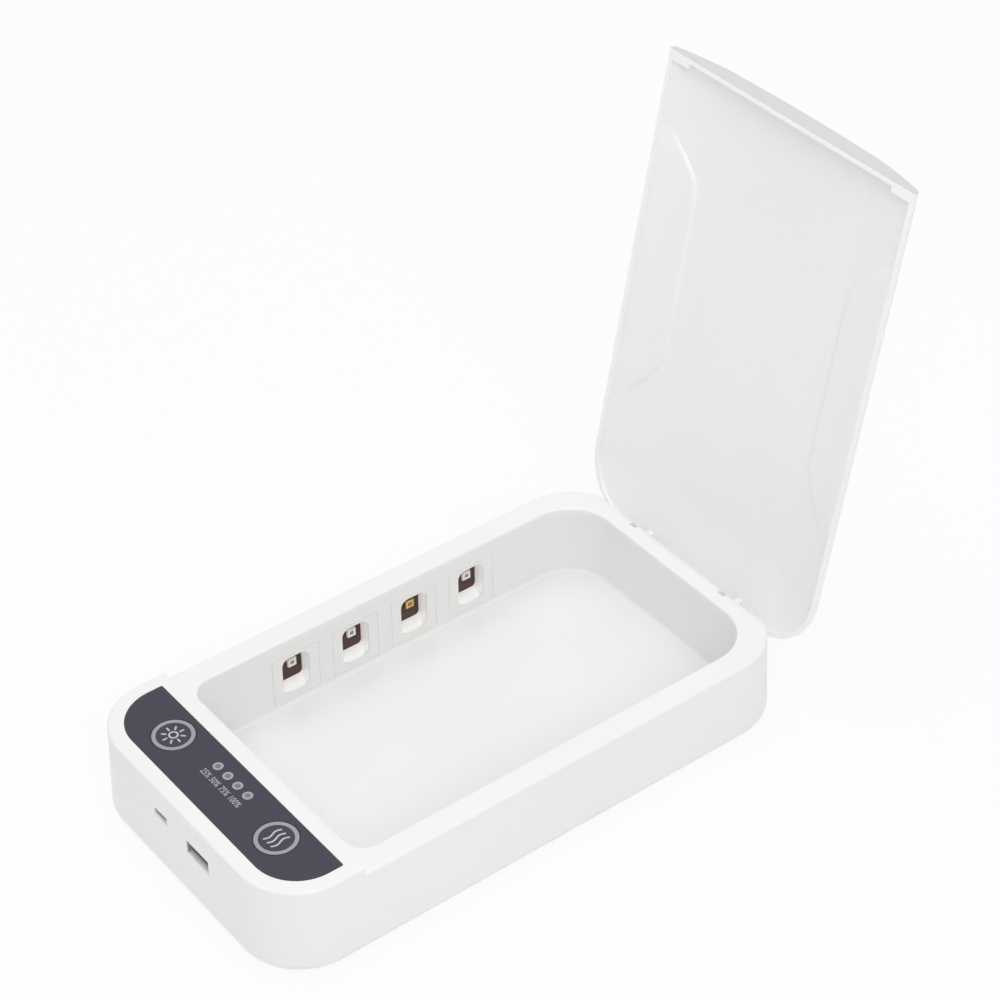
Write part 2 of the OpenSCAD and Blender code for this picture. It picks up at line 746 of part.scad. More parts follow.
module micro_usb_socket() {
    mouth = wall_face(micro_z) + port_sink;
    color(steel) translate([micro_x, mouth, micro_z]) difference() {
        rotate([-90, 0, 0]) linear_extrude(micro_length) micro_outline(0);
        translate([0, -1, 0]) rotate([-90, 0, 0]) linear_extrude(micro_length + 2) micro_outline(micro_shell);
    }
}

// Mouth of the inlet, its lower corners cut; y points down before it is turned
module micro_outline(in) {
    w = micro_width / 2 - in;
    h = micro_height / 2 - in;
    polygon([[-w, -h], [w, -h], [w, h - 1.1], [w - 1, h], [1 - w, h], [-w, h - 1.1]]);
}

module micro_usb_tongue() {
    mouth = wall_face(micro_z) + port_sink;
    w = micro_width - 2 * micro_shell - 0.1;
    h = micro_height - 2 * micro_shell - 0.1;
    color(black) translate([micro_x, mouth, micro_z]) {
        translate([-w / 2 + 1, micro_length - 1.2, -h / 2]) cube([w - 2, 1.2, h]);
        translate([-w / 2 + 1, 0.8, -0.1]) cube([w - 2, micro_length - 1.4, 0.6]);
    }
}

module lid_sensor() {
    color(black) translate([key_pitch / 2 - 12, board_back_y - 2, board_top]) {
        translate([-2, -0.8, 0.5]) cube([4, 1.6, 3]);
        for (x = [-1.2, 0, 1.2]) translate([x - 0.2, -0.2, 0]) cube([0.4, 0.4, 1]);
    }
}

module uv_board() {
    reach = frame_width / 2 + 1;
    color(board_brown) translate([lamp_face, windows_y[0] - reach, frame_z])
        cube([lamp_board_thickness, windows_y[3] - windows_y[0] + 2 * reach, frame_height]);
}

module uv_led(i) {
    color([0.85, 0.8, 0.6]) translate([lamp_face - lamp_thickness, windows_y[i - 1] + lamp_shift - lamp_side / 2, lamp_z - lamp_side / 2])
        cube([lamp_thickness, lamp_side, lamp_side]);
}

// Upright outline of a pocket, at distance o outside its opening
module pocket_outline(o) {
    rotate([90, 0, 90]) linear_extrude(far, center = true)
        outline(pocket_width + 2 * o, pocket_height + 2 * o, pocket_rounding + o, pocket_rounding + o);
}

module window(i) {
    y = windows_y[i - 1];
    z = pocket_z + pocket_height / 2;
    color(inner_white) difference() {
        union() {
            translate([tray_face, y - frame_width / 2, frame_z]) cube([tray_wall, frame_width, frame_height]);
            intersection() {
                translate([0, y, z]) pocket_outline(tube_wall);
                translate([tray_face, y - far, frame_z]) cube([pocket_depth, 2 * far, frame_height]);
            }
        }
        intersection() {
            translate([0, y, z]) pocket_outline(0);
            // the floor rises towards the lamp board
            translate([tray_face, y, pocket_z]) rotate([0, -atan(pocket_rise / pocket_depth), 0])
                translate([0, 0, pocket_height / 2]) rotate([90, 0, 90]) linear_extrude(far, center = true)
                    outline(pocket_width, pocket_height, pocket_floor_rounding, pocket_floor_rounding);
        }
    }
}

module uv_cable() {
    x0 = lamp_face + 0.1;
    y0 = windows_y[0] - frame_width / 2 - 1.1;
    y1 = deck_back;
    x2 = board_width / 2 - 4;
    y2 = board_back_y - 5;
    t = cable_thickness;
    color([0.8, 0.8, 0.82]) translate([0, 0, board_under - cable_width]) linear_extrude(cable_width)
        polygon([[x0, y0], [x0 + t, y0], [x0 + t, y1 - t / 2], [x2 + 4, y2 - t], [x2, y2 - t], [x2, y2],
            [x2 + 4 - t / 4, y2], [x0, y1]]);
}

// Section of the lid: side is the wall it leaves outside, shell the thickness above, r the edge's rounding
module lid_section(side, shell, r) {
    big = lid_shoulder_radius - shell;
    e = -side - r;
    w = shoulder_w + sqrt(pow(big - r, 2) - pow(e - shoulder_e, 2));
    dir = [(e - shoulder_e) / (big - r), (w - shoulder_w) / (big - r)];
    intersection() {
        union() {
            translate([-far, -1]) square([far + shoulder_e, far]);
            translate([shoulder_e, shoulder_w]) circle(big, $fn = 720);
        }
        polygon([[-far, 0], [-side, 0], [-side, max(0, w)], [e, max(0, w)], [e + 12 * dir[0], max(0, w) + 12 * dir[1]],
            [-far, max(0, w) + 12 * dir[1]]]);
    }
    if (w > 0) intersection() {
        translate([e, w]) circle(r, $fn = 48);
        translate([e - r, 0]) square([2 * r, far]);
    }
}

// Solid of the lid's outline, open at the front: side walls, back wall and both back corners
module lid_form(front, side, shell, r) {
    w = lid_width;
    rc = lid_corner_radius;
    intersection() {
        union() {
            mirrored() {
                translate([w / 2, lid_back_y - rc, lid_z]) rotate([90, 0, 0])
                    linear_extrude(lid_back_y - rc - front) inward(w / 2) lid_section(side, shell, r);
                translate([w / 2 - rc, lid_back_y - rc, lid_z]) rotate_extrude(angle = 90, $fn = 96)
                    from_axis() translate([rc, 0]) lid_section(side, shell, r);
            }
            translate([0, lid_back_y, lid_z]) rotate([0, 0, 90]) rotate([90, 0, 0])
                linear_extrude(w - 2 * rc, center = true) inward(rc) lid_section(side, shell, r);
        }
        // crown across the lid
        translate([0, far / 2, lid_z + crown_rise - lid_crown_radius]) rotate([90, 0, 0])
            cylinder(r = lid_crown_radius - shell, h = far, $fn = 720);
        // crown along the lid, towards the hinge end
        union() {
            translate([-far / 2, lid_back_y - rc - crown_reach, lid_z + crown_rise - lid_crown_radius])
                rotate([0, 90, 0]) cylinder(r = lid_crown_radius - shell, h = far, $fn = 720);
            translate([-far / 2, lid_back_y - rc - crown_reach - far, 0]) cube([far, far, far]);
        }
    }
}

module arm_shape() {
    translate([axis_y, axis_z]) circle(arm_eye_radius, $fn = 64);
    polygon([[lid_back_y - arm_low, axis_z], [lid_back_y - arm_low, lid_z + 2], [lid_back_y - arm_front, lid_z + 2],
        [lid_back_y - arm_front, axis_z]]);
}

module lid_closed() {
    difference() {
        union() {
            difference() {
                lid_form(lid_front_y, 0, 0, lid_edge_rounding);
                difference() {
                    lid_form(lid_front_y + lid_front_wall, lid_side_wall, lid_shell_thickness, 0.4);
                    // seats of the magnets
                    mirrored() translate([magnet_x - magnet_length / 2 - 1, lid_front_y, lid_z - 1])
                        cube([20, lid_front_wall + magnet_seat, 20]);
                }
            }
            mirrored() translate([hinge_arm_x - arm_thickness / 2, 0, 0]) rotate([90, 0, 90])
                linear_extrude(arm_thickness) arm_shape();
        }
        mirrored() along_axis(hinge_arm_x, pin_radius + pin_gap, arm_thickness + 2);
        mirrored() translate([magnet_x - magnet_length / 2 - magnet_gap, magnet_y - magnet_width / 2 - magnet_gap,
            lid_z + 0.4])
            cube([magnet_length + 2 * magnet_gap, magnet_width + 1, lid_magnet_thickness + 2 * magnet_gap]);
    }
}

// Turns what lies closed about the hinge axis to the open place
module opened() {
    translate([0, axis_y, axis_z]) rotate([-open_angle, 0, 0]) translate([0, -axis_y, -axis_z]) children();
}

module lid_shell() {
    color(white) opened() lid_closed();
}

module lid_magnet(s) {
    color(steel) opened() translate([s * magnet_x - magnet_length / 2, magnet_y - magnet_width / 2,
        lid_z + 0.4 + magnet_gap]) cube([magnet_length, magnet_width, lid_magnet_thickness]);
}

module case_magnet(s) {
    color(steel) translate([s * magnet_x - magnet_length / 2, magnet_y - magnet_width / 2,
        rim_under - case_magnet_thickness]) cube([magnet_length, magnet_width, case_magnet_thickness]);
}

module hinge_pin(s) {
    color(steel) along_axis(s * hinge_arm_x, pin_radius, slot_width + 2 * ear_thickness - 0.4);
}

module tray() {
    color(inner_white) difference() {
        tray_place() difference() {
            slab(tray_width + 2 * tray_wall, tray_length + 2 * tray_wall, tray_corner_front + tray_wall,
                tray_corner_back + tray_wall, tray_under, rim_under);
            pillow(tray_width, tray_length, tray_corner_front, tray_corner_back) {
                translate([-far, tray_floor_height]) square([far - tray_fillet, tray_fillet]);
                translate([-far, tray_floor_height + tray_fillet]) square([far, rim_height]);
                intersection() {
                    translate([-tray_fillet, tray_floor_height + tray_fillet]) circle(tray_fillet, $fn = 48);
                    translate([-tray_fillet, tray_floor_height]) square(tray_fillet);
                }
            }
        }
        // openings of the lamp frames
        for (y = windows_y) mirrored()
            translate([tray_face - tray_wall, y - frame_width / 2 - frame_gap, frame_z - frame_gap])
                cube([3 * tray_wall, frame_width + 2 * frame_gap, frame_height + 2 * frame_gap]);
        // opening of the fragrance grille
        translate([-grille_width / 2 - frame_gap, tray_front_y - 2 * tray_wall, grille_z - frame_gap])
            cube([grille_width + 2 * frame_gap, 3 * tray_wall, grille_height + 2 * frame_gap]);
    }
}

module bottom_cover() {
    color(white) difference() {
        union() {
            intersection() {
                pillow(case_width, case_length, corner_radius, corner_radius) bottom_section();
                translate([-far / 2, -far / 2, 0]) cube([far, far, cover_plate]);
            }
            // locating lip
            intersection() {
                union() {
                    difference() {
                        lip_slab(lean(cover_plate + cover_lip_height) - case_wall - cover_lip_gap);
                        lip_slab(lean(cover_plate + cover_lip_height) - case_wall - cover_lip_gap - cover_lip_thickness);
                    }
                }
                translate([-far / 2, -far / 2, cover_plate - 1]) cube([far, far, far]);
            }
            // pads under the tray
            for (x = [-1, 1]) for (y = [tray_front_y + 2.5 * pad_radius, tray_y, tray_back_y - 3.5 * pad_radius])
                rod([x * (tray_face - 2 * pad_radius), y], pad_radius, cover_plate - 0.5, tray_under);
            for (p = screw_places) rod(p, well_radius, 0, well_height);
        }
        for (p = screw_places) rod(p, recess_radius, -1, well_height - seat_thickness);
        for (p = screw_places) rod(p, screw_radius + screw_gap, -1, well_height + 1);
    }
}

module lip_slab(e) {
    slab(case_width + 2 * e, case_length + 2 * e, corner_radius + e, corner_radius + e,
        cover_plate - 0.5, cover_plate + cover_lip_height);
}

module cover_screws() {
    seat = well_height - seat_thickness;
    color(steel) for (p = screw_places) difference() {
        union() {
            rod(p, screw_head_radius, seat - screw_head_thickness, seat);
            rod(p, screw_radius, seat - 0.5, seat + screw_length);
        }
        screw_cross(p[0], p[1], seat - screw_head_thickness, screw_head_radius);
    }
}

module screw_plugs() {
    top = well_height - seat_thickness - screw_head_thickness - plug_gap;
    color([0.88, 0.88, 0.88]) for (p = screw_places)
        rod(p, recess_radius - plug_gap, max(0.1, top - plug_thickness), top);
}

module aroma_grille() {
    pitch = (grille_width - 2 * grille_margin - grille_slot_width) / (grille_slots - 1);
    color(inner_white) translate([0, tray_front_y - tray_wall, grille_z]) difference() {
        translate([-grille_width / 2, 0, 0]) cube([grille_width, tray_wall, grille_height]);
        for (i = [0:grille_slots - 1])
            translate([-grille_width / 2 + grille_margin + i * pitch, -1, grille_margin])
                cube([grille_slot_width, tray_wall + 2, grille_height - 2 * grille_margin]);
    }
}

module aroma_pad() {
    color([0.95, 0.93, 0.88]) translate([-grille_width / 2 + 1, pad_back - fragrance_pad_thickness, grille_z + 0.5])
        cube([grille_width - 2, fragrance_pad_thickness, grille_height - 1]);
}

module aroma_heater() {
    color([0.75, 0.6, 0.4]) translate([-grille_width / 2, heater_back - heater_thickness, grille_z])
        cube([grille_width, heater_thickness, grille_height]);
}

module heater_cable() {
    y0 = heater_back - heater_thickness / 2;
    t = cable_thickness / 2;
    color([0.8, 0.8, 0.82]) translate([-cable_width / 2, 0, 0]) rotate([90, 0, 90]) linear_extrude(cable_width)
        polygon([[y0 - t, grille_z + grille_height], [y0 + t, grille_z + grille_height], [y0 + t, board_top + 2 * t],
            [board_back_y - 3, board_top + 2 * t], [board_back_y - 3, board_top], [y0 - t, board_top]]);
}

main_housing();
tray();
bottom_cover();
cover_screws();
screw_plugs();
control_panel();
button(keys[0]);  // clean_button
button(keys[1]);  // aroma_button
ring(keys[0]);  // clean_ring
ring(keys[1]);  // aroma_ring
switch(keys[0]);  // clean_switch
switch(keys[1]);  // aroma_switch
plunger(keys[0]);  // clean_plunger
plunger(keys[1]);  // aroma_plunger
light_pipe();
indicator_led(1);  // indicator_led_1
indicator_led(2);  // indicator_led_2
indicator_led(3);  // indicator_led_3
indicator_led(4);  // indicator_led_4
control_board();
controller_chip();
board_screws();
usb_socket();
usb_tongue();
micro_usb_socket();
micro_usb_tongue();
lid_sensor();
mirror([1, 0, 0]) uv_board();  // left_uv_board
uv_board();  // right_uv_board
mirror([1, 0, 0]) uv_led(1);  // left_uv_led_1
mirror([1, 0, 0]) uv_led(2);  // left_uv_led_2
mirror([1, 0, 0]) uv_led(3);  // left_uv_led_3
mirror([1, 0, 0]) uv_led(4);  // left_uv_led_4
uv_led(1);  // right_uv_led_1
uv_led(2);  // right_uv_led_2
uv_led(3);  // right_uv_led_3
uv_led(4);  // right_uv_led_4
mirror([1, 0, 0]) window(1);  // left_window_1
mirror([1, 0, 0]) window(2);  // left_window_2
mirror([1, 0, 0]) window(3);  // left_window_3
mirror([1, 0, 0]) window(4);  // left_window_4
window(1);  // right_window_1
window(2);  // right_window_2
window(3);  // right_window_3
window(4);  // right_window_4
mirror([1, 0, 0]) uv_cable();  // left_uv_cable
uv_cable();  // right_uv_cable
lid_shell();
hinge_pin(-1);  // left_hinge_pin
hinge_pin(1);  // right_hinge_pin
lid_magnet(-1);  // left_lid_magnet
lid_magnet(1);  // right_lid_magnet
case_magnet(-1);  // left_case_magnet
case_magnet(1);  // right_case_magnet
aroma_grille();
aroma_pad();
aroma_heater();
heater_cable();
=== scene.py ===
"""Looks of the UV sanitizer box for phones: finishes for the moulded shells, the printed control
panel, the lamp chips in their pockets, the lid's thickened flanks and a plain pale studio."""

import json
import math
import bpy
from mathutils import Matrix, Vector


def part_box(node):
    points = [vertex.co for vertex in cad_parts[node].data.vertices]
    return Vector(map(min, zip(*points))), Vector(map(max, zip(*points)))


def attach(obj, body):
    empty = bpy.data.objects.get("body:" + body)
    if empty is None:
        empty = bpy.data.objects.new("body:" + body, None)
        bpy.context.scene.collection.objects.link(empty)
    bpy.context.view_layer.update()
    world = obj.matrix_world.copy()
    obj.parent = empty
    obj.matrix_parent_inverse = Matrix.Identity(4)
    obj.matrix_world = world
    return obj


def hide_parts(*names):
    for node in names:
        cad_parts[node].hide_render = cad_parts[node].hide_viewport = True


bl_info = {
    "name": "UV sanitizer box",
    "version": (1, 0, 0),
    "blender": (4, 5, 0),
    "location": "3D View > Sidebar > UV Box",
    "description": "Builds the visible finishes and fine pieces of a UV sanitizer box on its frame",
    "category": "Object",
}

import bmesh
import bpy
from bpy.props import BoolProperty, FloatProperty, FloatVectorProperty, PointerProperty
from mathutils import Matrix, Vector

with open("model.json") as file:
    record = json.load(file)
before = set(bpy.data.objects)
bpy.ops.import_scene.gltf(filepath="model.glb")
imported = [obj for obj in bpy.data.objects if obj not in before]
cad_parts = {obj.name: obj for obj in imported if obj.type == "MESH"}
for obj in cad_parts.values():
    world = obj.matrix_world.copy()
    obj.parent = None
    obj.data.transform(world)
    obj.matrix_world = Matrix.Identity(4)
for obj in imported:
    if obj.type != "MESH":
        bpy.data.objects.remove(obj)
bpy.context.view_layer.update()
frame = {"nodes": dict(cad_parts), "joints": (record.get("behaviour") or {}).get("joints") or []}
NODES = frame["nodes"]
MM = 0.001

# The lid as it lies closed, in millimetres: its lower plane, ends, half width and corner radius,
# the arcs of its crown and shoulders (heights above the lower plane) and its wall thickness
LID_PLANE = 33.7
LID_BACK = 109.0
LID_FRONT = -74.6
LID_HALF_WIDTH = 60.35
LID_CORNER = 24.0
CROWN_RADIUS = 641.0
CROWN_RISE = 8.055
SHOULDER_RADIUS = 116.0
SHOULDER_OUT = -34.995
SHOULDER_UP = -108.453
SHELL = 1.8

# Where the lid's painted light and shade set in, in metres: the painted highlight on the lip and
# the painted shade on the arms from the lower plane, the painted shade on the end face from the
# lid's reach
LIP_HIGHLIGHT_BAND = (0.00020, 0.00008)
ARM_SHADE_BAND = (-0.00005, -0.00030)
END_SHADE_BAND = (-0.00030, -0.00010)

# Painted light in a lamp pocket: where its brighter colour and glow set in behind the tray's wall,
# how strong the glow is, and its tint
POCKET_LIGHT_BAND = (0.0002, 0.0009)
POCKET_PAINTED_GLOW = 0.155
POCKET_GLOW_TINT = (1, 1, 0.99, 1)

# Shade inside a port: its colour, its share deep inside, and its share on a side wall
PORT_SHADE = (0.03, 0.03, 0.03)
PORT_DEEP = 0.65
PORT_SIDE = 0.6
PORT_SIDE_FACING = (0.5, 0.9)

# The part of its range from 0 to 1 that a noise field really uses
FIELD_LOW, FIELD_HIGH = 0.15, 0.85

# Colours of small pieces
BLACK = (0.012, 0.012, 0.013)
PLUNGER_GREY = (0.62, 0.62, 0.62)
PORT_NICKEL = (0.97, 0.97, 0.96)
HEATER_BRASS = (0.66, 0.52, 0.33)
FELT_CREAM = (0.80, 0.77, 0.68)
CABLE_GREYS = ((0.46, 0.46, 0.48), (0.66, 0.66, 0.68))
WELL_GREY = (0.16, 0.15, 0.15)
DIE_OCHRE = (0.46, 0.42, 0.30)
FLOOR_WHITE = (0.90, 0.90, 0.90)

# The charge numbers: place along the panel and width of each, in metres
NUMBERS = {"25%": (-0.0086, 0.00435), "50%": (-0.0032, 0.0045), "75%": (0.0023, 0.00445),
           "100%": (0.0086, 0.0054)}

# The symbols on the keys, as shares of their half width
LAMP_RING = 0.45
LAMP_RAY = (0.68, 1.0)
LAMP_RAYS = 8
SCENT_LINES = (-0.55, 0.0, 0.55)
SCENT_SWAY = 0.13
SCENT_RISE = 1.7
SCENT_STEPS = 24

# Form of a lamp chip: heights as shares of its depth, the rest as shares of its side (the bevel is
# in metres)
CHIP_FEET_TOP = 0.08
CHIP_BASE = (0.06, 0.62)
CHIP_RIM_FROM = 0.60
CHIP_WELL = (0.55, 0.70)
CHIP_DIE = (0.68, 0.86)
CHIP_BEVEL = 0.00008
RIM_OUTER, RIM_INNER = 0.96, 0.46
WELL_HALF, DIE_HALF = 0.25, 0.10
FOOT_PLACE, FOOT_HALF, FOOT_LENGTH = 0.30, 0.14, 0.44
GILDED_CHIP = 3

# Contacts under a port's tongue: tongue, count, width and the name of the piece
CONTACTS = (("usb_tongue", 4, 0.001, "usb_contacts"),
            ("micro_usb_tongue", 5, 0.0004, "micro_usb_contacts"))
CONTACT_SPREAD = 0.8
CONTACT_FRONT, CONTACT_BACK = 0.0004, 0.0018
CONTACT_PROUD, CONTACT_SUNK = 0.00008, 0.00012
TONGUE_NOSE = 0.0002
FINE_BEVEL = 0.00003

# A flank inside the lid, in millimetres. Its edge: distance from the hinge end and from the middle
FLANK_EDGE = ((39.5, 59.3), (47.0, 53.0), (55.0, 47.2), (62.5, 41.9), (68.0, 38.9), (75.0, 38.0),
              (100.0, 37.9), (128.0, 38.0), (136.0, 38.5), (141.0, 40.2), (146.0, 44.1),
              (149.6, 47.6), (153.5, 51.8), (157.0, 55.5), (160.5, 59.3))
# Its grid, and how much the columns crowd at the edge
FLANK_ROWS, FLANK_COLUMNS = 118, 26
FLANK_CROWDING = 1.6
# Its outer border, and the farthest that its edge may come to it
FLANK_OUTER, FLANK_EDGE_MOST = 59.3, 59.2
# It fades out at its ends, where the edge lies this far out
FLANK_FADE_FROM, FLANK_FADE_SPAN = 55.5, 11.0
# Its least thickness, and the room it leaves above the lid's lower plane
FLANK_LEAST, FLANK_CLEARANCE = 0.1, 0.35
# How far its face starts inside the shell, and how deep its back lies there
FLANK_DIP, FLANK_SUNK = 0.03, 0.5

# The photograph's camera: what it looks at, its angles in degrees, distance and lens in millimetres
CAMERA_TARGET = Vector((-0.013534, 0.035600, 0.085874))
CAMERA_AZIMUTH, CAMERA_ELEVATION, CAMERA_ROLL = 52.978, 38.380, -0.798
CAMERA_DISTANCE = 0.97552
CAMERA_LENS, CAMERA_SENSOR = 103.092, 36
CAMERA_CLIP = (0.01, 50)

# The lamps: place and diameter of each, and what they shine at
KEY_LAMP = ((1.09, -0.48, 1.20), 1.1)
TOP_LAMP = ((-0.25, 0.05, 1.5), 1.4)
LAMP_AIM = (0, 0.03, 0.05)
FLOOR_RADIUS, FLOOR_CORNERS = 6.0, 96

# Sockets of a colour Mix node
MIX_UNDER, MIX_OVER, MIX_RESULT = 6, 7, 2


# ---------------------------------------------------------------- sizes and colours

def colour(name, description, value):
    """Property that holds a colour"""
    return FloatVectorProperty(name=name, description=description, subtype="COLOR", size=3, min=0,
                               max=1, default=value)


def length(name, description, value, low, high):
    """Property that holds a length in metres"""
    return FloatProperty(name=name, description=description, unit="LENGTH", default=value, min=low,
                         max=high, precision=5)


def amount(name, description, value, high, **more):
    """Property that holds a number from 0 up"""
    return FloatProperty(name=name, description=description, default=value, min=0, max=high, **more)


class BoxColours(bpy.types.PropertyGroup):
    """Colours of the finishes"""
    shell: colour("Shell", "White of the case and cover", (0.90, 0.90, 0.895))
    lid: colour("Lid", "White of the lid", (0.935, 0.935, 0.937))
    # Painted shade on the lid's end face, where it meets the deck
    lid_end_painted_shade: colour("Lid end", "Greyer end face of the lid, at the deck", (0.68, 0.68, 0.665))
    # Painted highlight on the lower edge of the lid's walls
    lid_lip_painted_highlight: colour("Lid lip", "Bright lower edge of the lid's walls", (0.99, 0.99, 0.98))
    # Painted shade on the lid's hinge arms
    lid_arm_painted_shade: colour("Lid arms", "White of the lid's hinge arms", (0.83, 0.83, 0.825))
    tray: colour("Tray", "White of the tray and its lamp frames", (0.878, 0.876, 0.868))
    # Painted light in the lamp pockets: a brighter colour that goes with their painted glow
    pocket_painted_light: colour("Lamp pockets", "Bright lining inside the lamp pockets", (0.97, 0.97, 0.965))
    panel: colour("Panel", "Dark violet grey of the panel and keys", (0.042, 0.035, 0.058))
    print: colour("Print", "Pale ink of the numbers and rings", (0.385, 0.370, 0.425))
    symbol: colour("Symbols", "Pale ink of the symbols on the keys", (0.52, 0.50, 0.56))
    ring: colour("Ring", "Pale ring around each key", (0.335, 0.322, 0.372))
    light: colour("Lights", "Unlit lens of the charge lights", (0.165, 0.155, 0.185))
    lamp_board: colour("Lamp board", "Brown lacquer of the lamp boards", (0.058, 0.025, 0.017))
    ceramic: colour("Lamp chip", "Ceramic body of a lamp chip", (0.85, 0.84, 0.82))
    gold: colour("Gold", "Gilded contacts and the gilded lamp chip", (0.72, 0.50, 0.16))
    steel: colour("Steel", "Bright steel of the screws, pins and magnets", (0.60, 0.61, 0.63))
    board: colour("Control board", "Green lacquer of the control board", (0.018, 0.105, 0.045))


class PrintSizes(bpy.types.PropertyGroup):
    """Sizes of what is printed on the panel"""
    ink: length("Ink thickness", "Thickness of the printed ink", 0.00003, 0.00001, 0.0001)
    number_height: length("Number height", "Height of the charge numbers", 0.0025, 0.001, 0.004)
    number_weight: amount("Number weight", "Added stroke weight of the charge numbers", 0.012, 0.03,
                          precision=3)
    number_drop: length("Number drop", "Distance of the numbers in front of the lights", 0.00485,
                        0.003, 0.008)
    light_ring: length("Light ring", "Outer radius of the ring around a light", 0.00183, 0.001,
                       0.003)
    light_ring_line: length("Light ring line", "Line width of the ring around a light", 0.00078,
                            0.0002, 0.001)
    symbol: length("Symbol size", "Half width of a key's symbol", 0.0040, 0.001, 0.005)
    symbol_line: length("Symbol line", "Line width of a key's symbol", 0.00066, 0.0002, 0.001)


class LidSizes(bpy.types.PropertyGroup):
    """Sizes of the thickened flanks inside the lid"""
    flank_height: length("Flank height", "Thickness of a flank above the lid's inner face", 0.00100,
                         0, 0.0015)
    flank_step: length("Flank step", "Width of the soft step at a flank's edge", 0.0018, 0.0005,
                       0.006)


class Studio(bpy.types.PropertyGroup):
    """Light and backdrop"""
    backdrop: amount("Backdrop", "Brightness of the backdrop", 1.0, 1)
    ambient: amount("Ambient", "Strength of the even light", 0.62, 2)
    key: amount("Key", "Power of the large soft lamp at the right", 6.6, 100, unit="POWER")
    top: amount("Top", "Power of the soft lamp overhead", 5.9, 100, unit="POWER")
    shadow: amount("Shadow", "Share of the floor that shows the object's shadow", 0.12, 1)
    with_floor: BoolProperty(name="Floor", description="Add the pale floor", default=True)


def colours():
    """The scene's colours of the finishes"""
    return bpy.context.scene.box_colours


# ---------------------------------------------------------------- materials

class Finish:
    """A node material with one Principled shader and helpers to feed it"""

    def __init__(self, name):
        self.material = bpy.data.materials.new(name)
        self.material.use_nodes = True
        self.nodes = self.material.node_tree.nodes
        self.links = self.material.node_tree.links
        self.shader = self.nodes["Principled BSDF"]
        self.place = self.nodes.new("ShaderNodeTexCoord").outputs["Object"]

    def put(self, **sockets):
        """Constants on the shader's own sockets"""
        for name, value in sockets.items():
            self.shader.inputs[name.replace("_", " ")].default_value = value
        return self

    def noise(self, size, detail=3.0, stretch=None):
        """Soft random field with features of the given size in metres"""
        node = self.nodes.new("ShaderNodeTexNoise")
        node.inputs["Scale"].default_value = 1.0 / size
        node.inputs["Detail"].default_value = detail
        where = self.place
        if stretch:
            turn = self.nodes.new("ShaderNodeMapping")
            turn.inputs["Scale"].default_value = stretch
            self.links.new(where, turn.inputs["Vector"])
            where = turn.outputs["Vector"]
        self.links.new(where, node.inputs["Vector"])
        return node.outputs["Fac"]

    def ramp(self, field, low, high):
        """Colour that goes from low to high over the middle of a field"""
        node = self.nodes.new("ShaderNodeValToRGB")
        node.color_ramp.elements[0].position = FIELD_LOW
        node.color_ramp.elements[1].position = FIELD_HIGH
        node.color_ramp.elements[0].color = (*low, 1)
        node.color_ramp.elements[1].color = (*high, 1)
        self.links.new(field, node.inputs["Fac"])
        return node.outputs["Color"]

    def tone(self, base, drift, size, detail=3.0):
        """Base colour that drifts faintly lighter and darker"""
        low = [max(0.0, c * (1 - drift)) for c in base]
        high = [min(1.0, c * (1 + drift)) for c in base]
        field = self.noise(size, detail)
        self.links.new(self.ramp(field, low, high), self.shader.inputs["Base Color"])
        return self

    def map_range(self, field, start, end, low=0.0, high=1.0):
        """Value that goes from low to high while the field goes from start to end"""
        node = self.nodes.new("ShaderNodeMapRange")
        limits = {"From Min": start, "From Max": end, "To Min": low, "To Max": high}
        for name, value in limits.items():
            node.inputs[name].default_value = value
        self.links.new(field, node.inputs["Value"])
        return node.outputs["Result"]

    def maths(self, operation, first, second=None):
        """Result of a math node on one or two fields, or on a field and a number"""
        node = self.nodes.new("ShaderNodeMath")
        node.operation = operation
        self.links.new(first, node.inputs[0])
        if isinstance(second, (int, float)):
            node.inputs[1].default_value = second
        elif second:
            self.links.new(second, node.inputs[1])
        return node.outputs["Value"]

    def axes(self, field):
        """X, Y and Z of a vector field"""
        node = self.nodes.new("ShaderNodeSeparateXYZ")
        self.links.new(field, node.inputs["Vector"])
        return node.outputs

    def gloss(self, middle, spread, size, stretch=None):
        """Roughness that varies around its middle"""
        field = self.map_range(self.noise(size, 2.0, stretch), FIELD_LOW, FIELD_HIGH,
                               middle - spread, middle + spread)
        self.links.new(field, self.shader.inputs["Roughness"])
        return self

    def grain(self, size, depth, strength=0.5, stretch=None):
        """Fine surface grain as bump"""
        node = self.nodes.new("ShaderNodeBump")
        node.inputs["Strength"].default_value = strength
        node.inputs["Distance"].default_value = depth
        self.links.new(self.noise(size, 2.0, stretch), node.inputs["Height"])
        self.links.new(node.outputs["Normal"], self.shader.inputs["Normal"])
        return self


def moulded(name, base, roughness, drift=0.012, grain=0.0005, depth=0.000003):
    """Moulded plastic with a fine tool grain"""
    return (Finish(name).tone(base, drift, 0.06, 1.0).gloss(roughness, 0.05, 0.0012)
            .grain(grain, depth))


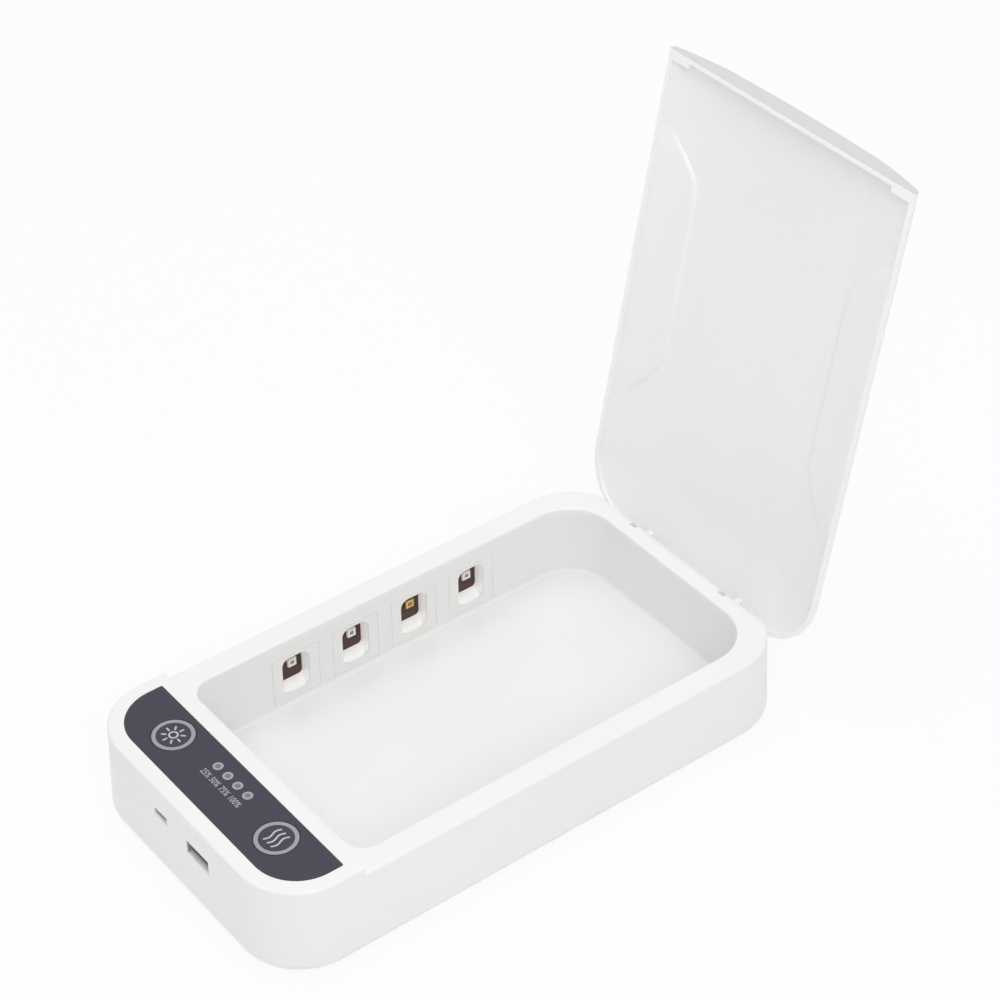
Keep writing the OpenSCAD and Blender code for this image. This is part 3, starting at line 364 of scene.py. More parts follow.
def make_finishes():
    """One material for each material slot of the part, by slot name"""
    c = colours()
    made = {
        "shell_white": glossy_white("white_shell", c.shell),
        # The lid's finish carries painted shade on its end face and hinge arms and a painted
        # highlight on its lip
        "lid_white": white_lid("white_lid", c.lid, c.lid_end_painted_shade, c.lid_lip_painted_highlight, c.lid_arm_painted_shade),
        "tray_white": moulded("white_tray", c.tray, 0.36).put(IOR=1.50),
        # The lamp frames get painted light in their pockets
        "pocket_white": pocket_frame_painted_light("white_lamp_frames", c.tray, c.pocket_painted_light),
        "panel_dark": moulded("dark_panel_film", c.panel, 0.34, 0.05, 0.0003).put(
            IOR=1.49, Specular_IOR_Level=0.35),
        "ring_grey": moulded("pale_ring", c.ring, 0.38, 0.03, 0.0003),
        "black_plastic": moulded("black_plastic", BLACK, 0.42, 0.2, 0.0004),
        "plunger_grey": moulded("grey_plunger", PLUNGER_GREY, 0.4, 0.04, 0.0003),
        "light_clear": moulded("frosted_light_pipe", c.light, 0.34, 0.06, 0.0004).put(
            Coat_Weight=0.3),
        "lamp_ceramic": moulded("lamp_ceramic", c.ceramic, 0.35, 0.02, 0.0002),
        "lamp_board": board_lacquer("brown_lamp_board", c.lamp_board).put(
            Coat_Weight=0.05, Specular_IOR_Level=0.3),
        "board_green": board_lacquer("green_control_board", c.board),
        "cable_grey": ribbed_cable("flat_cable"),
        "steel": brushed("bright_steel", c.steel, 0.28),
        "usb_nickel": shaded_port("satin_nickel", "usb_socket", 0.0013, 0.0021),
        "micro_usb_nickel": shaded_port("satin_nickel_small", "micro_usb_socket", 0.0006, 0.0013),
        "pad_felt": felt("fragrance_felt"),
        "heater_plate": brushed("heater_plate", HEATER_BRASS, 0.4),
    }
    return {slot: finish.material for slot, finish in made.items()}


def lid_hinge():
    """The hinge's axis, as a point, and the angle by which the lid stands open"""
    hinge = next(joint for joint in frame["joints"] if joint["name"] == "lid_hinge")
    return Vector(hinge["pos_m"]), math.radians(hinge["range_deg"][1])


def glossy_white(name, base):
    """Moulded white plastic under a thin gloss, rough enough to render without specks"""
    return moulded(name, base, 0.345).put(IOR=1.50, Coat_Weight=0.15, Coat_Roughness=0.12)


def white_lid(name, base, end, lip, arm):
    """Lid with painted shade on its end face, which meets the deck, a painted highlight on its
    lower edges and painted shade on its hinge arms
    """
    finish = glossy_white(name, base)
    axis, opened = lid_hinge()
    along = Vector((0, -math.cos(opened), math.sin(opened)))
    above = Vector((0, math.sin(opened), math.cos(opened)))
    reach = axis.y - LID_FRONT * MM
    foot = LID_PLANE * MM - axis.z
    away = finish.nodes.new("ShaderNodeVectorMath")
    away.operation = "SUBTRACT"
    finish.links.new(finish.place, away.inputs[0])
    away.inputs[1].default_value = axis

    def share(direction, origin, band):
        distance = finish.nodes.new("ShaderNodeVectorMath")
        distance.operation = "DOT_PRODUCT"
        finish.links.new(away.outputs["Vector"], distance.inputs[0])
        distance.inputs[1].default_value = direction
        return finish.map_range(distance.outputs["Value"], origin + band[0], origin + band[1])

    # Painted highlight on the lip of the lid's walls
    mix_over(finish, share(above, foot, LIP_HIGHLIGHT_BAND), lip)
    # Painted shade on the hinge arms
    mix_over(finish, share(above, foot, ARM_SHADE_BAND), arm)
    # Painted shade on the lid's end face
    return mix_over(finish, share(along, reach, END_SHADE_BAND), end)


def mix_over(finish, share, colour_over):
    """Lays a second colour over the finish's base colour where share is 1"""
    under = finish.shader.inputs["Base Color"].links[0].from_socket
    mix = finish.nodes.new("ShaderNodeMix")
    mix.data_type = "RGBA"
    finish.links.new(share, mix.inputs["Factor"])
    finish.links.new(under, mix.inputs[MIX_UNDER])
    mix.inputs[MIX_OVER].default_value = (*colour_over, 1)
    finish.links.new(mix.outputs[MIX_RESULT], finish.shader.inputs["Base Color"])
    return finish


def pocket_frame_painted_light(name, face, painted_light):
    """Moulded frame whose pocket, behind the tray's wall, gets painted light: a brighter colour and
    a glow, though it is no lamp
    """
    finish = moulded(name, face, 0.36).put(IOR=1.50)
    low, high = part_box("left_window_1")
    wall = min(abs(low.x), abs(high.x))
    aside = finish.maths("ABSOLUTE", finish.axes(finish.place)["X"])
    depth = finish.map_range(aside, wall + POCKET_LIGHT_BAND[0], wall + POCKET_LIGHT_BAND[1])
    # Painted glow in the pocket, which is no lamp
    glow = finish.maths("MULTIPLY", depth, POCKET_PAINTED_GLOW)
    finish.links.new(glow, finish.shader.inputs["Emission Strength"])
    finish.put(Emission_Color=POCKET_GLOW_TINT)
    # Brighter colour in the pocket, painted light
    return mix_over(finish, depth, painted_light)


def shaded_port(name, node, start, end):
    """Nickel shell of a port, darker deep inside and on the side wall away from the light"""
    finish = brushed(name, PORT_NICKEL, 0.60).put(Metallic=0.4)
    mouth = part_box(node)[0].y
    inward = finish.axes(finish.place)["Y"]
    deep = finish.map_range(inward, mouth + start, mouth + end, 0.0, PORT_DEEP)
    facing = finish.nodes.new("ShaderNodeTexCoord").outputs["Normal"]
    side = finish.map_range(finish.axes(facing)["X"], *PORT_SIDE_FACING, 0.0, PORT_SIDE)
    return mix_over(finish, finish.maths("MAXIMUM", deep, side), PORT_SHADE)


def board_lacquer(name, base):
    """Circuit board lacquer: copper traces show as faint lighter strips under a glossy coat"""
    finish = Finish(name)
    low = [c * 0.82 for c in base]
    high = [min(1, c * 1.35) for c in base]
    traces = finish.noise(0.0016, 0.0, (1.0, 0.25, 1.0))
    finish.links.new(finish.ramp(traces, low, high), finish.shader.inputs["Base Color"])
    return (finish.gloss(0.34, 0.05, 0.004).grain(0.0008, 0.00001, 0.35)
            .put(Coat_Weight=0.2, Coat_Roughness=0.2))


def brushed(name, base, roughness):
    """Drawn or rolled metal with fine streaks"""
    return (Finish(name).tone(base, 0.05, 0.003)
            .gloss(roughness, 0.07, 0.0012, (1.0, 0.15, 1.0))
            .grain(0.0004, 0.000003, 0.4, (1.0, 0.1, 1.0)).put(Metallic=1.0))


def ribbed_cable(name):
    """Flat cable: parallel cores show as ribs"""
    finish = Finish(name)
    wave = finish.nodes.new("ShaderNodeTexWave")
    wave.bands_direction = "Z"
    wave.inputs["Scale"].default_value = 160.0
    finish.links.new(finish.place, wave.inputs["Vector"])
    finish.links.new(finish.ramp(wave.outputs["Fac"], *CABLE_GREYS),
                     finish.shader.inputs["Base Color"])
    return finish.gloss(0.45, 0.05, 0.002)


def felt(name):
    """Pressed felt of the fragrance pad"""
    return (Finish(name).tone(FELT_CREAM, 0.08, 0.0008, 6.0).gloss(0.9, 0.05, 0.001)
            .grain(0.0003, 0.0001, 0.8).put(Sheen_Weight=0.4))


def ink(name, base):
    """Screen printed ink"""
    return moulded(name, base, 0.45, 0.03, 0.0002, 0.000002).material


def material_of(slot):
    """The material made for a slot of the part"""
    return bpy.data.materials[bpy.context.scene["box_finishes"][slot]]


def dress(*names, slot=None):
    """Gives CAD nodes the finish of their own material slot, or of the slot named"""
    for name in names:
        for holder in NODES[name].material_slots:
            holder.material = material_of(slot or holder.material.name.split(".")[0])


# ---------------------------------------------------------------- meshes

def add_object(name, data, body):
    """New piece that rides a body of the part"""
    piece = bpy.data.objects.new(name, data)
    bpy.context.scene.collection.objects.link(piece)
    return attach(piece, body)


def mesh_from(bm, name, materials, smooth=30):
    """Finishes a bmesh as a mesh with its materials, smooth below an angle in degrees"""
    bmesh.ops.recalc_face_normals(bm, faces=bm.faces)
    mesh = bpy.data.meshes.new(name)
    bm.to_mesh(mesh)
    bm.free()
    for material in materials:
        mesh.materials.append(material)
    mesh.shade_smooth()
    mesh.set_sharp_from_angle(angle=math.radians(smooth))
    return mesh


def ink_mesh(name, loops, low, thickness, material):
    """Flat printed shape from closed outlines, holes by even-odd, lying at height low"""
    curve = bpy.data.curves.new(name, "CURVE")
    curve.dimensions = "2D"
    curve.fill_mode = "BOTH"
    curve.extrude = thickness / 2
    for loop in loops:
        spline = curve.splines.new("POLY")
        spline.points.add(len(loop) - 1)
        spline.use_cyclic_u = True
        for point, (x, y) in zip(spline.points, loop):
            point.co = (x, y, 0, 1)
    return solid_from_curve(curve, name, Vector((0, 0, low + thickness / 2)), material)


def solid_from_curve(curve, name, move, material, fit=None):
    """Turns a curve or text into a closed mesh; fit is (x, y, width, height) to stretch it into"""
    holder = bpy.data.objects.new(name + "_curve", curve)
    bpy.context.scene.collection.objects.link(holder)
    bpy.context.view_layer.update()
    depsgraph = bpy.context.evaluated_depsgraph_get()
    mesh = bpy.data.meshes.new_from_object(holder.evaluated_get(depsgraph))
    bpy.data.objects.remove(holder)
    bpy.data.curves.remove(curve)
    if fit:
        x, y, width, height = fit
        xs, ys = [v.co.x for v in mesh.vertices], [v.co.y for v in mesh.vertices]
        scale = Matrix.Diagonal((width / (max(xs) - min(xs)), height / (max(ys) - min(ys)), 1, 1))
        middle = Vector((-(max(xs) + min(xs)) / 2, -(max(ys) + min(ys)) / 2, 0))
        mesh.transform(scale @ Matrix.Translation(middle))
        mesh.transform(Matrix.Translation((x, y, 0)))
    mesh.transform(Matrix.Translation(move))
    bm = bmesh.new()
    bm.from_mesh(mesh)
    bpy.data.meshes.remove(mesh)
    bmesh.ops.remove_doubles(bm, verts=bm.verts, dist=1e-7)
    return mesh_from(bm, name, [material])


def circle(x, y, radius, count=64):
    """Outline of a circle"""
    return [(x + radius * math.cos(a), y + radius * math.sin(a))
            for a in (2 * math.pi * i / count for i in range(count))]


def stroke(points, width, caps=8):
    """Outline of a line with round ends through the points"""
    def side(sign):
        out = []
        for i, p in enumerate(points):
            before, after = points[max(0, i - 1)], points[min(len(points) - 1, i + 1)]
            along = (Vector(after) - Vector(before)).normalized()
            out.append((p[0] - sign * along.y * width / 2, p[1] + sign * along.x * width / 2))
        return out

    def cap(at, towards):
        along = (Vector(at) - Vector(towards)).normalized()
        start = math.atan2(-along.x, along.y)
        turns = [start + math.pi * i / caps for i in range(1, caps)]
        return [(at[0] + width / 2 * math.cos(a), at[1] + width / 2 * math.sin(a)) for a in turns]

    left, right = side(1), side(-1)
    return right + cap(points[-1], points[-2]) + left[::-1] + cap(points[0], points[1])


def add_box(bm, low, high, material=0, bevel=0.0):
    """Box between two corners, with bevelled edges if asked"""
    made = bmesh.ops.create_cube(bm, size=1.0)["verts"]
    size = [high[i] - low[i] for i in range(3)]
    centre = [(high[i] + low[i]) / 2 for i in range(3)]
    for v in made:
        v.co = Vector([centre[i] + v.co[i] * size[i] for i in range(3)])
    faces = {f for v in made for f in v.link_faces}
    for f in faces:
        f.material_index = material
    if bevel:
        edges = list({e for v in made for e in v.link_edges})
        rounded = bmesh.ops.bevel(bm, geom=edges, offset=bevel, segments=2, profile=0.5,
                                  affect="EDGES")
        for f in rounded["faces"]:
            f.material_index = material


def add_frame(bm, centre, outer, inner, low, high, material=0):
    """Square frame around centre, as a closed solid"""
    def square(half, z):
        return [bm.verts.new((centre[0] + sx * half, centre[1] + sy * half, z))
                for sx, sy in ((-1, -1), (1, -1), (1, 1), (-1, 1))]

    rings = [square(outer / 2, low), square(outer / 2, high), square(inner / 2, high),
             square(inner / 2, low)]
    for a, b in zip(rings, rings[1:] + rings[:1]):
        for i in range(4):
            bm.faces.new((a[i], a[(i + 1) % 4], b[(i + 1) % 4], b[i])).material_index = material


# ---------------------------------------------------------------- operators

class BoxOperator(bpy.types.Operator):
    """Common ground of this file's operators"""
    bl_idname = "uvbox.common"
    bl_label = "Common"
    bl_options = {"REGISTER", "UNDO"}


class UVBOX_OT_finishes(BoxOperator):
    """Make the materials of the part, one for each of its material slots"""
    bl_idname = "uvbox.finishes"
    bl_label = "Finishes"

    def execute(self, context):
        context.scene["box_finishes"] = {slot: m.name for slot, m in make_finishes().items()}
        return {"FINISHED"}


class UVBOX_OT_studio(BoxOperator):
    """Set up the camera at the photograph's angle, the pale floor and the soft light"""
    bl_idname = "uvbox.studio"
    bl_label = "Studio"

    def execute(self, context):
        studio = context.scene.box_studio
        place_camera()
        light_world(studio)
        if studio.with_floor:
            add_floor(studio)
        add_lamp("key_lamp", *KEY_LAMP, studio.key)
        add_lamp("top_lamp", *TOP_LAMP, studio.top)
        context.scene.view_settings.view_transform = "Standard"
        return {"FINISHED"}


def place_camera():
    """Camera at the photograph's angle"""
    a, e, r = (math.radians(x) for x in (CAMERA_AZIMUTH, CAMERA_ELEVATION, CAMERA_ROLL))
    back = Vector((math.sin(a) * math.cos(e), -math.cos(a) * math.cos(e), math.sin(e)))
    level = Vector((math.cos(a), math.sin(a), 0))
    upright = back.cross(level)
    right = level * math.cos(r) + upright * math.sin(r)
    data = bpy.data.cameras.new("camera")
    data.lens = CAMERA_LENS
    data.sensor_width = CAMERA_SENSOR
    data.clip_start, data.clip_end = CAMERA_CLIP
    camera = bpy.data.objects.new("camera", data)
    bpy.context.scene.collection.objects.link(camera)
    camera.matrix_world = Matrix.Translation(CAMERA_TARGET + back * CAMERA_DISTANCE) @ Matrix(
        (right, back.cross(right), back)).transposed().to_4x4()
    bpy.context.scene.camera = camera


def seen_directly(nodes, links):
    """1 for what the camera, a reflection or clear plastic shows, 0 for light on the object"""
    path = nodes.new("ShaderNodeLightPath")
    total = path.outputs["Is Camera Ray"]
    for name in ("Is Glossy Ray", "Is Transmission Ray"):
        add = nodes.new("ShaderNodeMath")
        add.operation = "MAXIMUM"
        links.new(total, add.inputs[0])
        links.new(path.outputs[name], add.inputs[1])
        total = add.outputs[0]
    return total


def light_world(studio):
    """World that shows the white backdrop and lights the object evenly"""
    world = bpy.data.worlds.new("studio")
    world.use_nodes = True
    nodes, links = world.node_tree.nodes, world.node_tree.links
    shown = nodes["Background"]
    shown.inputs["Color"].default_value = (1, 1, 1, 1)
    shown.inputs["Strength"].default_value = studio.backdrop
    even = nodes.new("ShaderNodeBackground")
    even.inputs["Color"].default_value = (1.0, 1.0, 1.0, 1)
    even.inputs["Strength"].default_value = studio.ambient
    mix = nodes.new("ShaderNodeMixShader")
    links.new(seen_directly(nodes, links), mix.inputs[0])
    links.new(even.outputs[0], mix.inputs[1])
    links.new(shown.outputs[0], mix.inputs[2])
    links.new(mix.outputs[0], nodes["World Output"].inputs["Surface"])
    bpy.context.scene.world = world


def add_floor(studio):
    """Pale floor that shows the backdrop and a share of the object's shadow"""
    bm = bmesh.new()
    bmesh.ops.create_circle(bm, cap_ends=True, radius=FLOOR_RADIUS, segments=FLOOR_CORNERS)
    mesh = bpy.data.meshes.new("floor")
    bm.to_mesh(mesh)
    bm.free()
    floor = bpy.data.objects.new("floor", mesh)
    bpy.context.scene.collection.objects.link(floor)
    finish = Finish("pale_floor")
    nodes, links = finish.nodes, finish.links
    finish.tone(FLOOR_WHITE, 0.004, 0.4).put(Roughness=1.0, Specular_IOR_Level=0.0)
    glow = nodes.new("ShaderNodeEmission")
    glow.inputs["Color"].default_value = (1, 1, 1, 1)
    glow.inputs["Strength"].default_value = studio.backdrop
    share = nodes.new("ShaderNodeMath")
    share.operation = "MULTIPLY"
    share.inputs[1].default_value = 1 - studio.shadow
    mix = nodes.new("ShaderNodeMixShader")
    links.new(seen_directly(nodes, links), share.inputs[0])
    links.new(share.outputs[0], mix.inputs[0])
    links.new(finish.shader.outputs[0], mix.inputs[1])
    links.new(glow.outputs[0], mix.inputs[2])
    links.new(mix.outputs[0], nodes["Material Output"].inputs["Surface"])
    mesh.materials.append(finish.material)


def add_lamp(name, place, size, power):
    """Soft round lamp that shines at the object"""
    data = bpy.data.lights.new(name, "AREA")
    data.shape = "DISK"
    data.size = size
    data.energy = power
    lamp = bpy.data.objects.new(name, data)
    bpy.context.scene.collection.objects.link(lamp)
    lamp.location = place
    lamp.rotation_mode = "QUATERNION"
    lamp.rotation_quaternion = (Vector(LAMP_AIM) - lamp.location).to_track_quat("-Z", "Y")


class UVBOX_OT_shells(BoxOperator):
    """Finish the white shells: case, bottom cover, screw plugs and lid"""
    bl_idname = "uvbox.shells"
    bl_label = "White shells"

    def execute(self, context):
        dress("main_housing", "bottom_cover", "screw_plugs")
        dress("lid_shell", slot="lid_white")
        return {"FINISHED"}


class UVBOX_OT_tray(BoxOperator):
    """Finish the tray, the lamp frames and the fragrance grille in its walls"""
    bl_idname = "uvbox.tray"
    bl_label = "Tray"

    def execute(self, context):
        dress("tray", "aroma_grille")
        windows = [f"{side}_window_{i}" for side in ("left", "right") for i in range(1, 5)]
        dress(*windows, slot="pocket_white")
        return {"FINISHED"}


class UVBOX_OT_panel(BoxOperator):
    """Finish the dark control panel with its two keys and their pale rings"""
    bl_idname = "uvbox.panel"
    bl_label = "Control panel"

    def execute(self, context):
        dress("control_panel", "clean_button", "aroma_button", "clean_ring", "aroma_ring")
        return {"FINISHED"}


class UVBOX_OT_charge_lights(BoxOperator):
    """Finish the four charge lights and print a pale ring around each"""
    bl_idname = "uvbox.charge_lights"
    bl_label = "Charge lights"

    def execute(self, context):
        dress("light_pipe", *[f"indicator_led_{i}" for i in range(1, 5)])
        sizes = context.scene.box_print
        outer = sizes.light_ring
        inner = outer - sizes.light_ring_line
        loops = [circle(x, y, r) for x, y in light_centres() for r in (outer, inner)]
        material = ink("ring_ink", colours().print)
        mesh = ink_mesh("light_rings", loops, panel_top(), sizes.ink, material)
        add_object("light_rings", mesh, "case")
        return {"FINISHED"}


def panel_top():
    """Height of the control panel's face"""
    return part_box("control_panel")[1].z


def light_centres():
    """Places of the four charge lights on the panel"""
    boxes = [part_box(f"indicator_led_{i}") for i in range(1, 5)]
    return [((low.x + high.x) / 2, (low.y + high.y) / 2) for low, high in boxes]


class UVBOX_OT_numbers(BoxOperator):
    """Print the four charge numbers in front of the lights"""
    bl_idname = "uvbox.numbers"
    bl_label = "Charge numbers"

    def execute(self, context):
        sizes = context.scene.box_print
        material = ink("number_ink", colours().print)
        y = light_centres()[0][1] - sizes.number_drop
        lift = Vector((0, 0, panel_top() + sizes.ink / 2))
        for text, (x, width) in NUMBERS.items():
            curve = bpy.data.curves.new(text, "FONT")
            curve.body = text
            curve.extrude = sizes.ink / 2
            curve.offset = sizes.number_weight
            curve.resolution_u = 4
            name = "number_" + text.strip("%")
            mesh = solid_from_curve(curve, name, lift, material, (x, y, width, sizes.number_height))
            add_object(name, mesh, "case")
        return {"FINISHED"}


class UVBOX_OT_symbols(BoxOperator):
    """Print a plain lamp symbol and a plain rising-scent symbol inside the keys' rings"""
    bl_idname = "uvbox.symbols"
    bl_label = "Key symbols"

    def execute(self, context):
        sizes = context.scene.box_print
        half, line = sizes.symbol, sizes.symbol_line
        material = ink("symbol_ink", colours().symbol)
        drawn = {"clean": lamp_symbol(half, line), "aroma": scent_symbol(half, line)}
        for key, loops in drawn.items():
            low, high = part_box(key + "_button")
            x, y = (low.x + high.x) / 2, (low.y + high.y) / 2
            placed = [[(x + px, y + py) for px, py in loop] for loop in loops]
            mesh = ink_mesh(key + "_symbol", placed, high.z, sizes.ink, material)
            add_object(key + "_symbol", mesh, key + "_key")
        return {"FINISHED"}


def lamp_symbol(half, line):
    """A small ring with eight rays"""
    loops = [circle(0, 0, half * LAMP_RING), circle(0, 0, half * LAMP_RING - line)]
    for i in range(LAMP_RAYS):
        a = 2 * math.pi / LAMP_RAYS * i
        ray = [(math.cos(a) * half * r, math.sin(a) * half * r) for r in LAMP_RAY]
        loops.append(stroke(ray, line))
    return loops


def scent_symbol(half, line):
    """Three waving lines that rise"""
    def wave(x):
        return [(x + SCENT_SWAY * half * math.sin(t * 2 * math.pi),
                 half * (SCENT_RISE * t - SCENT_RISE / 2))
                for t in (i / SCENT_STEPS for i in range(SCENT_STEPS + 1))]

    return [stroke(wave(x * half), line) for x in SCENT_LINES]


class UVBOX_OT_lamps(BoxOperator):
    """Build the lamp chips in the pockets and finish the boards that carry them"""
    bl_idname = "uvbox.lamps"
    bl_label = "Lamps"

    def execute(self, context):
        dress("left_uv_board", "right_uv_board")
        gold = brushed("gilt", colours().gold, 0.3).material
        well = moulded("lamp_well", WELL_GREY, 0.2, 0.1, 0.0003).put(Coat_Weight=0.8).material
        die = moulded("lamp_die", DIE_OCHRE, 0.25, 0.1, 0.0002).material
        for side, sign in (("left", 1), ("right", -1)):
            for i in range(1, 5):
                node = f"{side}_uv_led_{i}"
                body = gold if i == GILDED_CHIP else material_of("lamp_ceramic")
                mesh = lamp_chip(node, sign, [body, well, die, gold])
                chip = add_object(f"{side}_lamp_chip_{i}", mesh, "case")
                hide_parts(node)
        return {"FINISHED"}


def lamp_chip(node, sign, materials):
    """Ceramic package: base with gilt feet, raised frame, sunken well and the small square die"""
    low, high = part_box(node)
    side, depth = high.y - low.y, high.x - low.x
    bm = bmesh.new()

    def block(half, heights, material, bevel=0.0):
        add_box(bm, (-side * half, -side * half, depth * heights[0]),
                (side * half, side * half, depth * heights[1]), material, bevel)

    block(0.5, CHIP_BASE, 0, CHIP_BEVEL)
    add_frame(bm, (0, 0), side * RIM_OUTER, side * RIM_INNER, depth * CHIP_RIM_FROM, depth)
    block(WELL_HALF, CHIP_WELL, 1)
    block(DIE_HALF, CHIP_DIE, 2, FINE_BEVEL)
    for s in (-1, 1):
        x = s * side * FOOT_PLACE
        add_box(bm, (x - side * FOOT_HALF, -side * FOOT_LENGTH, 0),
                (x + side * FOOT_HALF, side * FOOT_LENGTH, depth * CHIP_FEET_TOP), 3)
    # The chip's depth runs along X, away from the board behind its own wall of the tray
    centre = (low + high) / 2
    base = low.x if sign > 0 else high.x
    turn = Matrix(((0, 0, sign), (sign, 0, 0), (0, 1, 0))).to_4x4()
    place = Matrix.Translation((base, centre.y, centre.z)) @ turn
    bmesh.ops.transform(bm, matrix=place, verts=bm.verts)
    return mesh_from(bm, node.replace("led", "chip"), materials)


class UVBOX_OT_ports(BoxOperator):
    """Finish both ports and add the gilt contacts under their tongues"""
    bl_idname = "uvbox.ports"
    bl_label = "Ports"

    def execute(self, context):
        dress("usb_socket", slot="usb_nickel")
        dress("micro_usb_socket", slot="micro_usb_nickel")
        dress("usb_tongue", "micro_usb_tongue")
        gold = brushed("contact_gilt", colours().gold, 0.3).material
        for node, count, width, name in CONTACTS:
            low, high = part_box(node)
            bm = bmesh.new()
            pitch = (high.x - low.x) * CONTACT_SPREAD / count
            middle = (low.x + high.x) / 2
            under, first = tongue_face(node)
            for i in range(count):
                x = middle + (i - (count - 1) / 2) * pitch
                add_box(bm, (x - width / 2, first + CONTACT_FRONT, under - CONTACT_PROUD),
                        (x + width / 2, high.y - CONTACT_BACK, under + CONTACT_SUNK), 0, FINE_BEVEL)
            add_object(name, mesh_from(bm, name, [gold]), "case")
        return {"FINISHED"}


def tongue_face(node):
    """Height of the tongue's lower face and the place of its front edge"""
    mesh = NODES[node].data
    front = min(v.co.y for v in mesh.vertices)
    return min(v.co.z for v in mesh.vertices if v.co.y < front + TONGUE_NOSE), front


class UVBOX_OT_flanks(BoxOperator):
    """Add the thickened flanks inside the lid, with their soft curved edges"""
    bl_idname = "uvbox.flanks"
    bl_label = "Lid flanks"

    def execute(self, context):
        sizes = context.scene.box_lid
        for name, sign in (("left_lid_flank", -1), ("right_lid_flank", 1)):
            add_object(name, flank_mesh(name, sign, sizes), "lid")
        return {"FINISHED"}


def flank_edge(u):
    """Smooth line through the points of FLANK_EDGE"""
    points = FLANK_EDGE
    for i in range(len(points) - 1):
        if u <= points[i + 1][0]:
            break
    before, here = points[max(0, i - 1)], points[i]
    there, after = points[i + 1], points[min(len(points) - 1, i + 2)]
    span = there[0] - here[0]
    t = (u - here[0]) / span
    slope_here = (there[1] - before[1]) / max(1e-6, there[0] - before[0]) * span
    slope_there = (after[1] - here[1]) / max(1e-6, after[0] - here[0]) * span
    return ((2 * t ** 3 - 3 * t ** 2 + 1) * here[1] + (t ** 3 - 2 * t ** 2 + t) * slope_here
            + (3 * t ** 2 - 2 * t ** 3) * there[1] + (t ** 3 - t ** 2) * slope_there)


def dome_inside(x, y):
    """Height of the lid's inner face above its lower plane, as it lies closed, in millimetres"""
    crown = CROWN_RISE - CROWN_RADIUS + math.sqrt((CROWN_RADIUS - SHELL) ** 2 - x * x)
    past = y - (LID_BACK - LID_CORNER - (LID_HALF_WIDTH - LID_CORNER))
    along = CROWN_RISE - CROWN_RADIUS + math.sqrt((CROWN_RADIUS - SHELL) ** 2 - max(0.0, past) ** 2)
    out = abs(x) - LID_HALF_WIDTH - SHOULDER_OUT
    shoulder = SHOULDER_UP + math.sqrt((SHOULDER_RADIUS - SHELL) ** 2 - max(0.0, out) ** 2)
    return min(crown, along, shoulder)


def flank_mesh(name, sign, sizes):
    """Closed pad between its curved edge and the lid's side wall, its back inside the shell"""
    height, step = sizes.flank_height / MM, sizes.flank_step / MM
    axis, opened = lid_hinge()
    opening = (Matrix.Translation(axis) @ Matrix.Rotation(-opened, 4, "X")
               @ Matrix.Translation(-axis))
    first, last = FLANK_EDGE[0][0], FLANK_EDGE[-1][0]
    bm = bmesh.new()

    def strip(a, b):
        for k in range(len(a) - 1):
            bm.faces.new((a[k], a[k + 1], b[k + 1], b[k]))

    grids = []
    for inner in (True, False):
        grid = []
        for i in range(FLANK_ROWS + 1):
            u = first + (last - first) * i / FLANK_ROWS
            edge = min(flank_edge(u), FLANK_EDGE_MOST)
            fade = min(1.0, max(0.0, (FLANK_FADE_FROM - edge) / FLANK_FADE_SPAN))
            full = height * fade * fade * (3 - 2 * fade)
            y = LID_BACK - u
            line = []
            for k in range(FLANK_COLUMNS + 1):
                v = edge + (FLANK_OUTER - edge) * (k / FLANK_COLUMNS) ** FLANK_CROWDING
                t = min(1.0, (v - edge) / step)
                room = dome_inside(v, y)
                # Thins out beside the lid's side wall, so that it stays above the rim
                rise = min(full * t * t * (3 - 2 * t), max(FLANK_LEAST, room - FLANK_CLEARANCE))
                z = LID_PLANE + room - (rise - FLANK_DIP if inner else -FLANK_SUNK)
                line.append(bm.verts.new(opening @ Vector((sign * v * MM, y * MM, z * MM))))
            grid.append(line)
        grids.append(grid)
    for grid in grids:
        for a, b in zip(grid, grid[1:]):
            strip(a, b)
    top, under = grids
    for end in (0, -1):
        strip([row[end] for row in top], [row[end] for row in under])
    for end in (0, -1):
        strip(top[end], under[end])
    return mesh_from(bm, name, [material_of("lid_white")], 40)


class UVBOX_OT_electronics(BoxOperator):
    """Finish the board, switches, sensor and flat cables inside the case"""
    bl_idname = "uvbox.electronics"
    bl_label = "Electronics"

    def execute(self, context):
        dress("control_board", "controller_chip", "lid_sensor", "clean_switch", "aroma_switch",
              "clean_plunger", "aroma_plunger", "left_uv_cable", "right_uv_cable")
        return {"FINISHED"}


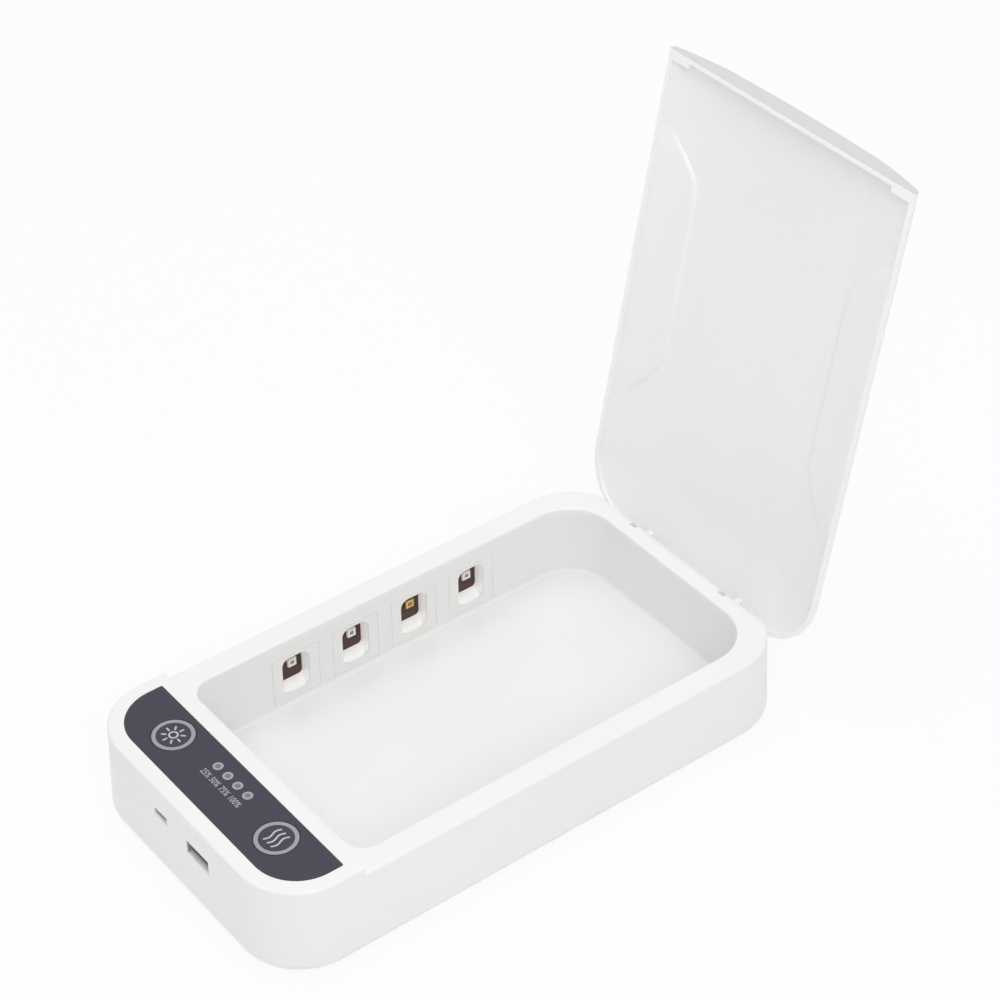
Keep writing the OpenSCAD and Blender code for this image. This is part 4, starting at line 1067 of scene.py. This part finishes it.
class UVBOX_OT_metalwork(BoxOperator):
    """Finish the screws, hinge pins and magnets"""
    bl_idname = "uvbox.metalwork"
    bl_label = "Metalwork"

    def execute(self, context):
        dress("cover_screws", "board_screws", "left_hinge_pin", "right_hinge_pin",
              "left_lid_magnet", "right_lid_magnet", "left_case_magnet", "right_case_magnet")
        return {"FINISHED"}


class UVBOX_OT_fragrance(BoxOperator):
    """Finish the fragrance pad, its heater plate and the heater's cable"""
    bl_idname = "uvbox.fragrance"
    bl_label = "Fragrance unit"

    def execute(self, context):
        dress("aroma_pad", "aroma_heater", "heater_cable")
        return {"FINISHED"}


STEPS = (UVBOX_OT_finishes, UVBOX_OT_studio, UVBOX_OT_shells, UVBOX_OT_tray, UVBOX_OT_panel,
         UVBOX_OT_charge_lights, UVBOX_OT_numbers, UVBOX_OT_symbols, UVBOX_OT_lamps,
         UVBOX_OT_ports, UVBOX_OT_flanks, UVBOX_OT_electronics, UVBOX_OT_metalwork,
         UVBOX_OT_fragrance)


class UVBOX_PT_panel(bpy.types.Panel):
    """Sidebar panel with the sizes, the colours and a button for each piece"""
    bl_label = "UV Box"
    bl_idname = "UVBOX_PT_panel"
    bl_space_type = "VIEW_3D"
    bl_region_type = "UI"
    bl_category = "UV Box"

    def draw(self, context):
        layout, scene = self.layout, context.scene
        for group in (scene.box_colours, scene.box_print, scene.box_lid, scene.box_studio):
            box = layout.box()
            for name in group.bl_rna.properties.keys():
                if name not in ("rna_type", "name"):
                    box.prop(group, name)
        for step in STEPS:
            layout.operator(step.bl_idname)


GROUPS = {"box_colours": BoxColours, "box_print": PrintSizes, "box_lid": LidSizes,
          "box_studio": Studio}


def register():
    for kind in (*GROUPS.values(), *STEPS, UVBOX_PT_panel):
        bpy.utils.register_class(kind)
    for name, kind in GROUPS.items():
        setattr(bpy.types.Scene, name, PointerProperty(type=kind))


def unregister():
    for name in GROUPS:
        delattr(bpy.types.Scene, name)
    for kind in reversed((*GROUPS.values(), *STEPS, UVBOX_PT_panel)):
        bpy.utils.unregister_class(kind)


def main():
    register()
    for step in STEPS:
        group, name = step.bl_idname.split(".")
        getattr(getattr(bpy.ops, group), name)()


if __name__ == "__main__":
    main()
